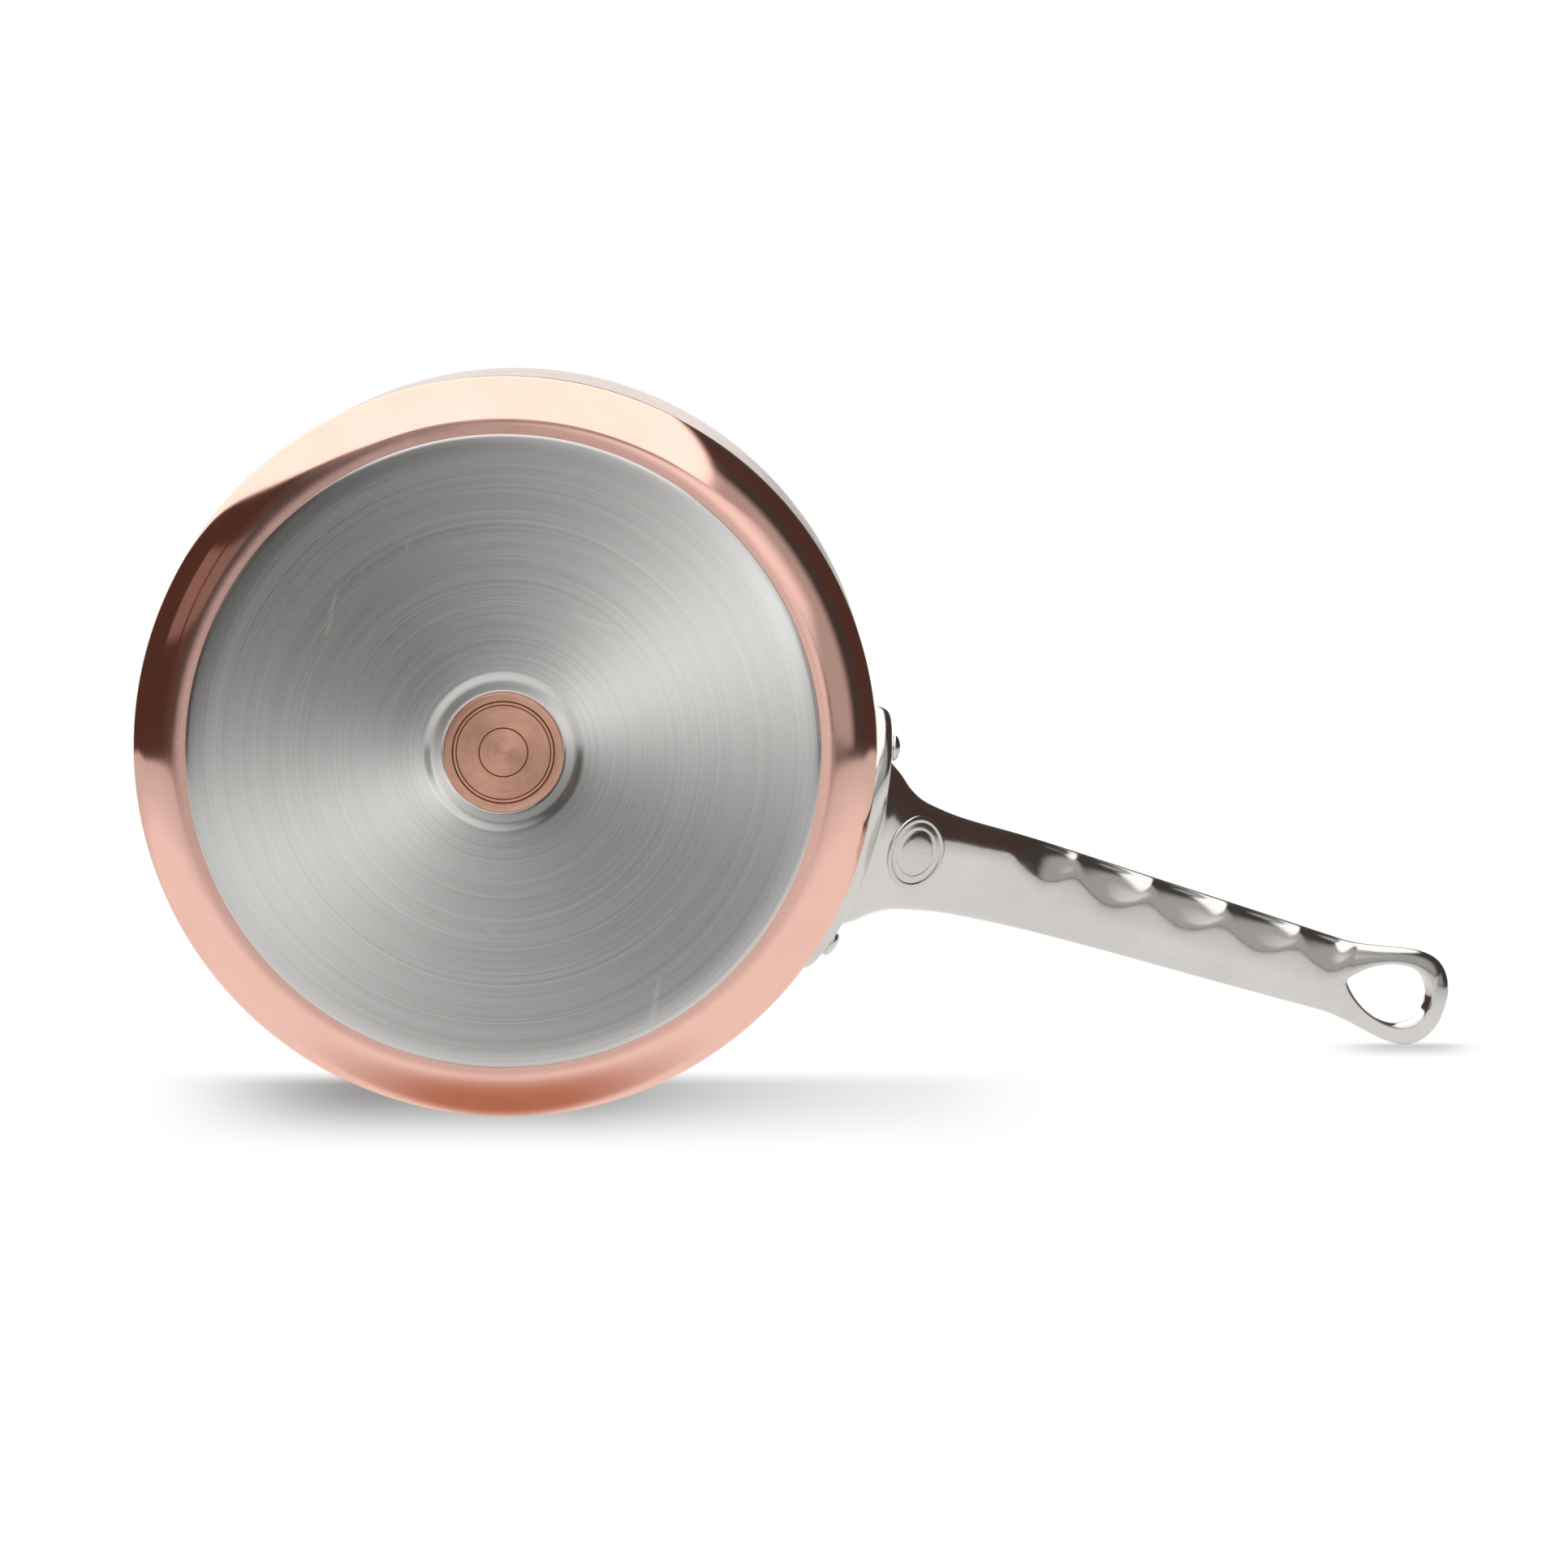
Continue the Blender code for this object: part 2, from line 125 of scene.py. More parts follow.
# ------------------------------------------------------------ node helper
class Graph:
    """Short calls for a shader node tree."""

    def __init__(self, tree):
        self.tree = tree
        self.nodes = tree.nodes
        self.links = tree.links

    def node(self, kind, **settings):
        n = self.nodes.new(kind)
        for key, value in settings.items():
            setattr(n, key, value)
        return n

    def put(self, socket, value):
        if isinstance(value, bpy.types.NodeSocket):
            self.links.new(value, socket)
        else:
            socket.default_value = value

    def math(self, op, a, b=0.0, c=0.0, clamp=False):
        n = self.node("ShaderNodeMath", operation=op, use_clamp=clamp)
        self.put(n.inputs[0], a)
        self.put(n.inputs[1], b)
        self.put(n.inputs[2], c)
        return n.outputs[0]

    def add(self, a, b):
        return self.math("ADD", a, b)

    def sub(self, a, b):
        return self.math("SUBTRACT", a, b)

    def mul(self, a, b):
        return self.math("MULTIPLY", a, b)

    def div(self, a, b):
        return self.math("DIVIDE", a, b)

    def step(self, value, low, high):
        """0 at low, 1 at high, smooth between; low may be above high."""
        n = self.node("ShaderNodeMapRange", interpolation_type="SMOOTHSTEP")
        self.put(n.inputs["Value"], value)
        flip = low > high
        self.put(n.inputs["From Min"], min(low, high))
        self.put(n.inputs["From Max"], max(low, high))
        self.put(n.inputs["To Min"], 1.0 if flip else 0.0)
        self.put(n.inputs["To Max"], 0.0 if flip else 1.0)
        return n.outputs["Result"]

    def remap(self, value, low, high, to_low, to_high):
        n = self.node("ShaderNodeMapRange")
        self.put(n.inputs["Value"], value)
        self.put(n.inputs["From Min"], low)
        self.put(n.inputs["From Max"], high)
        self.put(n.inputs["To Min"], to_low)
        self.put(n.inputs["To Max"], to_high)
        return n.outputs["Result"]

    def both(self, *values):
        out = values[0]
        for v in values[1:]:
            out = self.mul(out, v)
        return out

    def blend(self, under, over, mask):
        """under where mask is 0, over where mask is 1."""
        return self.math("MULTIPLY_ADD", self.sub(over, under), mask, under)

    def dot(self, vector, constant):
        n = self.node("ShaderNodeVectorMath", operation="DOT_PRODUCT")
        self.put(n.inputs[0], vector)
        n.inputs[1].default_value = tuple(constant)
        return n.outputs["Value"]

    def split(self, vector):
        n = self.node("ShaderNodeSeparateXYZ")
        self.put(n.inputs[0], vector)
        return n.outputs[0], n.outputs[1], n.outputs[2]

    def join(self, x, y, z):
        n = self.node("ShaderNodeCombineXYZ")
        self.put(n.inputs[0], x)
        self.put(n.inputs[1], y)
        self.put(n.inputs[2], z)
        return n.outputs[0]

    def scaled(self, vector, x, y, z):
        n = self.node("ShaderNodeVectorMath", operation="MULTIPLY")
        self.put(n.inputs[0], vector)
        n.inputs[1].default_value = (x, y, z)
        return n.outputs["Vector"]

    def noise(self, vector, scale, detail=3.0, rough=0.55, distortion=0.0):
        n = self.node("ShaderNodeTexNoise")
        self.put(n.inputs["Vector"], vector)
        n.inputs["Scale"].default_value = scale
        n.inputs["Detail"].default_value = detail
        n.inputs["Roughness"].default_value = rough
        n.inputs["Distortion"].default_value = distortion
        return n.outputs["Fac"]

    def colour(self, fac, low, high):
        n = self.node("ShaderNodeMix", data_type="RGBA")
        self.put(n.inputs[0], fac)
        n.inputs[6].default_value = (*low, 1.0)
        n.inputs[7].default_value = (*high, 1.0)
        return n.outputs[2]

    def tint(self, fac, under, over):
        n = self.node("ShaderNodeMix", data_type="RGBA")
        self.put(n.inputs[0], fac)
        self.put(n.inputs[6], under)
        self.put(n.inputs[7], over)
        return n.outputs[2]

    def bump(self, height, strength, distance, normal=None):
        n = self.node("ShaderNodeBump")
        self.put(n.inputs["Height"], height)
        n.inputs["Strength"].default_value = strength
        n.inputs["Distance"].default_value = distance
        if normal is not None:
            self.links.new(normal, n.inputs["Normal"])
        return n.outputs["Normal"]


def metal(name, anisotropic=0.0, turn=0.0):
    """A metal material: the graph, its shader, and object coordinates."""
    mat = bpy.data.materials.new(name)
    mat.use_nodes = True
    g = Graph(mat.node_tree)
    shader = mat.node_tree.nodes["Principled BSDF"]
    shader.inputs["Metallic"].default_value = 1.0
    if anisotropic:
        shader.inputs["Anisotropic"].default_value = anisotropic
        shader.inputs["Anisotropic Rotation"].default_value = turn
        tangent = g.node("ShaderNodeTangent", direction_type="RADIAL",
                         axis="Z")
        g.links.new(tangent.outputs[0], shader.inputs["Tangent"])
    place = g.node("ShaderNodeTexCoord").outputs["Object"]
    return mat, g, shader, place


def round_lines(g, place, turns, along_scale):
    """Coordinates that run round Z: noise read there is drawn out into arcs
    round the axis. along_scale is for the height and the radius."""
    x, y, z = g.split(place)
    radius = g.math("SQRT", g.add(g.mul(x, x), g.mul(y, y)))
    safe = g.math("MAXIMUM", radius, 0.0005)
    across = g.add(g.mul(radius, along_scale), g.mul(z, along_scale))
    return g.join(g.mul(g.div(x, safe), turns), g.mul(g.div(y, safe), turns),
                  across), radius


# --------------------------------------------------------------- materials
def copper_material():
    mat, g, s, place = metal("copper_polished_looks")
    s.inputs["Specular Tint"].default_value = (1.0, 0.86, 0.76, 1.0)
    arcs, radius = round_lines(g, place, 1.3, 2200.0)
    fine = g.noise(arcs, 1.0, 5.0, 0.62)
    broad = g.noise(place, 26.0, 3.0, 0.5)
    handled = g.noise(place, 95.0, 4.0, 0.6, 0.4)
    base = g.colour(g.step(broad, 0.3, 0.72), (0.908, 0.556, 0.476),
                    (0.936, 0.594, 0.514))
    worn = g.colour(g.step(handled, 0.42, 0.66), (0.896, 0.538, 0.452),
                    (0.934, 0.588, 0.504))
    g.links.new(g.tint(0.35, base, worn), s.inputs["Base Color"])
    smear = g.remap(handled, 0.3, 0.75, 0.0, 0.035)
    lines = g.remap(fine, 0.3, 0.7, 0.045, 0.085)
    # brushed together with the plate, next to its edge
    brushed = g.step(radius, PLATE_R + 0.0046, PLATE_R + 0.0014)
    g.links.new(g.add(g.add(smear, lines), g.mul(brushed, 0.20)),
                s.inputs["Roughness"])
    g.links.new(g.bump(fine, 0.18, 0.00003), s.inputs["Normal"])
    return mat


def satin_copper_material():
    mat, g, s, place = metal("copper_satin_looks", 0.55, 0.25)
    arcs, radius = round_lines(g, place, 1.2, 3800.0)
    fine = g.noise(arcs, 1.0, 5.0, 0.65)
    broad = g.noise(place, 160.0, 4.0, 0.6, 0.5)
    base = g.colour(g.step(broad, 0.3, 0.7), (0.640, 0.345, 0.250),
                    (0.760, 0.440, 0.330))
    dark = g.colour(g.step(fine, 0.35, 0.62), (0.56, 0.28, 0.19),
                    (0.76, 0.44, 0.33))
    g.links.new(g.tint(0.40, base, dark), s.inputs["Base Color"])
    g.links.new(g.remap(fine, 0.3, 0.7, 0.26, 0.42), s.inputs["Roughness"])
    g.links.new(g.bump(fine, 0.30, 0.00004), s.inputs["Normal"])
    return mat


def engraved_material():
    mat, g, s, place = metal("copper_engraving_looks")
    spots = g.noise(place, 1500.0, 4.0, 0.6)
    g.links.new(g.colour(spots, (0.10, 0.030, 0.014), (0.24, 0.085, 0.045)),
                s.inputs["Base Color"])
    g.links.new(g.remap(spots, 0.3, 0.7, 0.42, 0.60), s.inputs["Roughness"])
    return mat


def plate_material():
    mat, g, s, place = metal("plate_steel_looks", 0.88, 0.25)
    arcs, radius = round_lines(g, place, 0.55, 4600.0)
    coarse, radius2 = round_lines(g, place, 0.25, 1100.0)
    middle, radius3 = round_lines(g, place, 0.60, 3100.0)
    fine = g.add(g.mul(g.noise(arcs, 1.0, 6.0, 0.68), 0.45),
                 g.mul(g.noise(middle, 1.0, 5.0, 0.62), 0.55))
    band = g.noise(coarse, 1.0, 4.0, 0.6)
    # a few stray scratches that cross the turning marks
    warp = g.scaled(place, 210.0, 26.0, 1.0)
    scratch_a = g.step(g.noise(warp, 1.0, 2.0, 0.5, 0.2), 0.705, 0.735)
    warp_b = g.scaled(place, 30.0, 330.0, 1.0)
    scratch_b = g.step(g.noise(warp_b, 1.0, 2.0, 0.5, 0.3), 0.715, 0.745)
    scratch = g.math("MAXIMUM", scratch_a, scratch_b)
    base = g.colour(g.step(band, 0.3, 0.7), (0.625, 0.622, 0.610),
                    (0.675, 0.672, 0.660))
    streak = g.colour(g.step(fine, 0.36, 0.64), (0.500, 0.497, 0.485),
                      (0.770, 0.767, 0.755))
    steel = g.tint(0.25, base, streak)
    pale = g.node("ShaderNodeRGB")
    pale.outputs[0].default_value = (0.80, 0.79, 0.77, 1.0)
    g.links.new(g.tint(g.mul(scratch, 0.25), steel, pale.outputs[0]),
                s.inputs["Base Color"])
    rough = g.add(g.remap(fine, 0.3, 0.7, 0.160, 0.205), g.mul(scratch, 0.03))
    g.links.new(rough, s.inputs["Roughness"])
    first = g.bump(band, 0.06, 0.00005)
    second = g.bump(fine, 0.075, 0.00003, first)
    g.links.new(second, s.inputs["Normal"])
    return mat


def lining_material():
    mat, g, s, place = metal("lining_steel_looks", 0.60, 0.25)
    arcs, radius = round_lines(g, place, 1.6, 2100.0)
    fine = g.noise(arcs, 1.0, 5.0, 0.65)
    broad = g.noise(place, 30.0, 3.0, 0.5)
    base = g.colour(g.step(fine, 0.3, 0.7), (0.62, 0.61, 0.595),
                    (0.70, 0.69, 0.675))
    cloud = g.colour(g.step(broad, 0.35, 0.7), (0.58, 0.57, 0.55),
                     (0.67, 0.66, 0.645))
    g.links.new(g.tint(0.4, base, cloud), s.inputs["Base Color"])
    g.links.new(g.remap(fine, 0.3, 0.7, 0.22, 0.34), s.inputs["Roughness"])
    g.links.new(g.bump(fine, 0.16, 0.00004), s.inputs["Normal"])
    return mat


def cast_material():
    mat, g, s, place = metal("cast_steel_looks")
    grain = g.noise(place, 900.0, 4.0, 0.6)
    broad = g.noise(place, 42.0, 3.0, 0.5, 0.3)
    along = g.noise(g.scaled(place, 60.0, 1500.0, 1500.0), 1.0, 4.0, 0.6)
    base = g.colour(g.step(broad, 0.3, 0.7), (0.655, 0.635, 0.610),
                    (0.720, 0.700, 0.675))
    line = g.colour(g.step(along, 0.3, 0.7), (0.630, 0.612, 0.590),
                    (0.725, 0.708, 0.685))
    g.links.new(g.tint(0.35, base, line), s.inputs["Base Color"])
    g.links.new(g.add(g.remap(along, 0.3, 0.7, 0.095, 0.150),
                      g.remap(broad, 0.3, 0.7, 0.0, 0.03)),
                s.inputs["Roughness"])
    first = g.bump(grain, 0.10, 0.00003)
    g.links.new(g.bump(along, 0.12, 0.00003, first), s.inputs["Normal"])
    return mat


def boss_material():
    mat, g, s, place = metal("boss_steel_looks")
    grain = g.noise(place, 1600.0, 4.0, 0.6)
    g.links.new(g.colour(g.step(grain, 0.3, 0.7), (0.60, 0.585, 0.565),
                         (0.70, 0.685, 0.665)), s.inputs["Base Color"])
    g.links.new(g.remap(grain, 0.3, 0.7, 0.17, 0.26), s.inputs["Roughness"])
    g.links.new(g.bump(grain, 0.16, 0.00003), s.inputs["Normal"])
    return mat


def rivet_material():
    mat, g, s, place = metal("rivet_steel_looks")
    grain = g.noise(place, 1400.0, 4.0, 0.6)
    rub = g.noise(place, 240.0, 3.0, 0.5, 0.4)
    g.links.new(g.colour(g.step(rub, 0.3, 0.7), (0.62, 0.605, 0.585),
                         (0.72, 0.705, 0.685)), s.inputs["Base Color"])
    g.links.new(g.remap(grain, 0.3, 0.7, 0.13, 0.22), s.inputs["Roughness"])
    g.links.new(g.bump(grain, 0.12, 0.00003), s.inputs["Normal"])
    return mat


COPPER = copper_material()
SATIN = satin_copper_material()
ENGRAVED = engraved_material()
PLATE = plate_material()
LINING = lining_material()
CAST = cast_material()
BOSS = boss_material()
RIVET = rivet_material()


# ---------------------------------------------------------------- geometry
def show(obj, slot, *replaced):
    looks.objects.link(obj)
    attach(obj, "root")
    if replaced:
        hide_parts(*replaced)
    return obj


def arc(cx, cz, radius, start, end, count):
    out = []
    for i in range(count + 1):
        a = math.radians(start + (end - start) * i / count)
        out.append((cx + radius * math.cos(a), cz + radius * math.sin(a)))
    return out


def lathe(name, profile, mats, closed=False, steps=SPIN, sharp=32.0,
          matrix=None, paint=None):
    """Turns (radius, height) pairs about Z into one closed body. paint gives
    a material index for a face from its middle's radius and height."""
    bm = bmesh.new()
    rows = []
    for r, z in profile:
        if r <= 1e-7:
            rows.append([bm.verts.new((0.0, 0.0, z))])
        else:
            rows.append([bm.verts.new((r * math.cos(2 * math.pi * i / steps),
                                       r * math.sin(2 * math.pi * i / steps),
                                       z)) for i in range(steps)])
    pairs = list(zip(rows, rows[1:]))
    if closed:
        pairs.append((rows[-1], rows[0]))
    for a, b in pairs:
        for i in range(steps):
            j = (i + 1) % steps
            if len(a) == 1:
                bm.faces.new((a[0], b[j], b[i]))
            elif len(b) == 1:
                bm.faces.new((a[i], a[j], b[0]))
            else:
                bm.faces.new((a[i], a[j], b[j], b[i]))
    bmesh.ops.recalc_face_normals(bm, faces=bm.faces)
    limit = math.radians(sharp)
    for e in bm.edges:
        e.smooth = e.calc_face_angle(0.0) < limit
    for f in bm.faces:
        f.smooth = True
        if paint:
            c = f.calc_center_median()
            f.material_index = paint(math.hypot(c.x, c.y), c.z, f.normal.z)
    if matrix is not None:
        bm.transform(matrix)
    mesh = bpy.data.meshes.new(name)
    bm.to_mesh(mesh)
    bm.free()
    for m in mats:
        mesh.materials.append(m)
    return bpy.data.objects.new(name, mesh)


def cup(outer_r, thickness, z_bottom, z_top, corner, steps, edge):
    inner_r = outer_r - thickness
    cx = outer_r - corner
    cz = z_bottom + corner
    rows = [(0.0, z_bottom + thickness)]
    rows += [(cx * k / 8, z_bottom + thickness) for k in range(1, 8)]
    rows += arc(cx, cz, corner - thickness, -90, 0, steps)
    rows += [(inner_r, cz + (z_top - edge - cz) * k / 8) for k in range(1, 8)]
    rows += arc(inner_r + edge, z_top - edge, edge, 180, 90, 5)
    if outer_r - edge > inner_r + edge + 1e-6:
        rows += arc(outer_r - edge, z_top - edge, edge, 90, 0, 5)
    else:
        rows += arc(outer_r - edge, z_top - edge, edge, 90, 0, 5)[1:]
    rows += [(outer_r, z_top - edge + (cz - z_top + edge) * k / 8)
             for k in range(1, 8)]
    rows += arc(cx, cz, corner, 0, -90, steps)
    rows += [(cx * k / 8, z_bottom) for k in range(7, 0, -1)]
    rows += [(0.0, z_bottom)]
    return rows


copper_body = show(
    lathe("copper_body_looks",
          cup(BODY_R, COPPER_T, BODY_Z0, BODY_H, CORNER_R, 18, 0.00035),
          [COPPER]),
    "copper", "copper_body")

# the lining is drawn 0.24 mm thicker than in the frame, outwards, so that it
# sits against the copper as a bonded layer does
LINING_R = BODY_R - COPPER_T - 0.00006
steel_lining = show(
    lathe("steel_lining_looks",
          cup(LINING_R, LINING_R - (BODY_R - COPPER_T - GAP - LINING_T),
              BODY_Z0 + COPPER_T + 0.00006, BODY_H - 0.00005,
              CORNER_R - COPPER_T - 0.00006, 16, 0.00022),
          [LINING]),
    "lining_steel", "steel_lining")

HOLE_R = DISC_R + GAP
plate_rows = [(HOLE_R, DISH_DEPTH + 0.00004), (HOLE_R, PLATE_T),
              (PLATE_R - 0.0003, PLATE_T)]
plate_rows += arc(PLATE_R - 0.0002, PLATE_T - 0.0002, 0.0002, 90, 0, 4)
plate_rows += [(PLATE_R, PLATE_EDGE_RISE + 0.00018)]
plate_rows += arc(PLATE_R - 0.00018, PLATE_EDGE_RISE + 0.00018, 0.00018,
                  0, -72, 4)
for k in range(1, 9):
    t = k / 8
    plate_rows.append((PLATE_R - 0.0004 + (PLATE_FLAT_R - PLATE_R + 0.0004) * t,
                       PLATE_EDGE_RISE * 0.86 * (1 - t) ** 1.8))
plate_rows += [(PLATE_FLAT_R + (DISH_R - PLATE_FLAT_R) * k / 10, 0.0)
               for k in range(1, 10)]
for k in range(0, 9):
    t = k / 8
    plate_rows.append((DISH_R - 0.0030 * t,
                       DISH_DEPTH * (t * t * (3 - 2 * t))))
plate_rows += [(DISH_R - 0.0030 + (HOLE_R + 0.0001 - DISH_R + 0.0030) * k / 4,
                DISH_DEPTH) for k in range(1, 5)]
induction_plate = show(lathe("induction_plate_looks", plate_rows, [PLATE],
                             closed=True, sharp=40.0),
                       "plate_steel", "induction_plate")


def disc_rows():
    """The centre disc with three engraved rings."""
    grooves = ((0.0138, 0.00022), (0.0128, 0.00016), (0.0066, 0.00018))
    rows = [(0.0, PLATE_T), (DISC_R - 0.0002, PLATE_T),
            (DISC_R, PLATE_T - 0.0002), (DISC_R, 0.00022)]
    rows += arc(DISC_R - 0.00022, 0.00022, 0.00022, 0, -90, 4)[1:]
    for r, w in grooves:
        rows += [(r + w, 0.0), (r + w * 0.55, 0.00010), (r - w * 0.55, 0.00010),
                 (r - w, 0.0)]
    rows += [(0.0050, 0.0), (0.0025, 0.0), (0.0, 0.0)]
    return rows


def disc_paint(r, z, nz):
    for at, w in ((0.0138, 0.00022), (0.0128, 0.00016), (0.0066, 0.00018)):
        if abs(r - at) < w * 1.01 and z < 0.0002:
            return 1
    return 0


centre_disc = show(lathe("centre_disc_looks", disc_rows(), [SATIN, ENGRAVED],
                         steps=160, paint=disc_paint),
                   "copper_satin", "centre_disc")


# ------------------------------------------------------------------ handle
def catmull(points, u):
    n = len(points)
    i = min(max(int(math.floor(u)), 0), n - 2)
    t = u - i
    p1, p2 = points[i], points[i + 1]
    p0 = points[i - 1] if i > 0 else tuple(2 * a - b for a, b in zip(p1, p2))
    p3 = points[i + 2] if i + 2 < n else tuple(
        2 * b - a for a, b in zip(p1, p2))
    out = []
    for a, b, c, d in zip(p0, p1, p2, p3):
        out.append(0.5 * (2 * b + (c - a) * t + (2 * a - 5 * b + 4 * c - d)
                          * t * t + (3 * b - a - 3 * c + d) * t ** 3))
    return out


def station_at(reach):
    lo, hi = 0.0, len(STATIONS) - 1.0
    for _ in range(40):
        mid = 0.5 * (lo + hi)
        if catmull(STATIONS, mid)[0] < reach:
            lo = mid
        else:
            hi = mid
    u = 0.5 * (lo + hi)
    s = catmull(STATIONS, u)
    a = catmull(STATIONS, max(u - 0.05, 0.0))
    b = catmull(STATIONS, min(u + 0.05, len(STATIONS) - 1.0))
    slope = math.atan2(b[1] - a[1], b[0] - a[0])
    turn = min(max((reach - STATIONS[0][0]) / ROOT_TURN, 0.0), 1.0)
    slope *= turn * turn * (3.0 - 2.0 * turn)
    return s[1], s[2], s[3], s[4], slope


def scallop(reach, side):
    """Depth of a round finger hollow on the lower shoulder of the grip;
    side is 0 on the middle line of the underside and 1 at its edge."""
    k = (reach - SCALLOP_FIRST) / SCALLOP_PITCH
    if k < 0.0 or k > SCALLOP_COUNT:
        return 0.0
    f = 2.0 * (k - math.floor(k)) - 1.0
    v = 1.0 - f * f - ((1.0 - side) / 0.88) ** 2
    fade = min(max((EYE_START - 0.0010 - reach) / 0.0060, 0.0), 1.0)
    return (SCALLOP_DEPTH * 0.5 * (v + math.sqrt(v * v + 0.004))
            * fade * fade * (3.0 - 2.0 * fade))


def eye_half_width(reach):
    if reach <= EYE_START or reach >= EYE_END:
        return 0.0
    if reach > EYE_ROUND:
        return math.sqrt(max(EYE_R ** 2 - (reach - EYE_ROUND) ** 2, 0.0))
    t = (reach - EYE_START) / (EYE_ROUND - EYE_START)
    return EYE_R * (1.0 - (1.0 - t) ** 2) ** 0.85


def power(value, exponent):
    return math.copysign(abs(value) ** exponent, value)


ANGLES = [math.pi / 2 - 2.0 * math.pi * i / RING_POINTS
          for i in range(RING_POINTS)]


def on_wall(radius, across, height):
    a = across / radius
    return (radius * math.cos(a), radius * math.sin(a), height)


def flange_ring(radius, scale, lift=0.0, blend=0.0):
    z0, w, h, p, _ = station_at(STATIONS[0][0])
    out = []
    for a in ANGLES:
        c, s = math.cos(a), math.sin(a)
        q = FLANGE_W * scale * power(c, 2.0 / FLANGE_POWER)
        z = FLANGE_Z + FLANGE_HH * scale * power(s, 2.0 / FLANGE_POWER)
        rq = w * 1.06 * power(c, 2.0 / p)
        rz = z0 + h * 1.06 * power(s, 2.0 / p)
        q = q + (rq - q) * blend
        z = z + (rz - z) * blend
        if s < 0.0:
            z += lift * (1.0 - blend) * math.exp(-(q / 0.017) ** 2)
        out.append(on_wall(radius, q, z))
    return out


def neck_ring(reach, inner=0.0):
    z0, w, h, p, slope = station_at(reach)
    tx, tz = math.cos(slope), math.sin(slope)
    out = []
    for a in ANGLES:
        c, s = math.cos(a), math.sin(a)
        y = inner + (w - inner) * abs(c) ** (2.0 / p)
        y = math.copysign(y, c)
        if abs(c) < 1e-9:
            y = 0.0
        n = h * power(s, 2.0 / p)
        if s < 0.0 and c < 0.0 and inner == 0.0:
            side = abs(y) / w
            dent = scallop(reach, side) * min(1.0, (abs(s) * 2.2) ** 1.5)
            n += dent
            y -= math.copysign(dent * 0.45 * side, y)
        out.append((reach - n * tz, y, z0 + n * tx))
    return out


def blended_root_ring(k):
    face = flange_ring(BODY_R + FLANGE_GAP + FLANGE_T, 0.90, FLANGE_LIFT, 0.85)
    neck = neck_ring(STATIONS[0][0])
    return [tuple(a + (b - a) * k for a, b in zip(f, n))
            for f, n in zip(face, neck)]


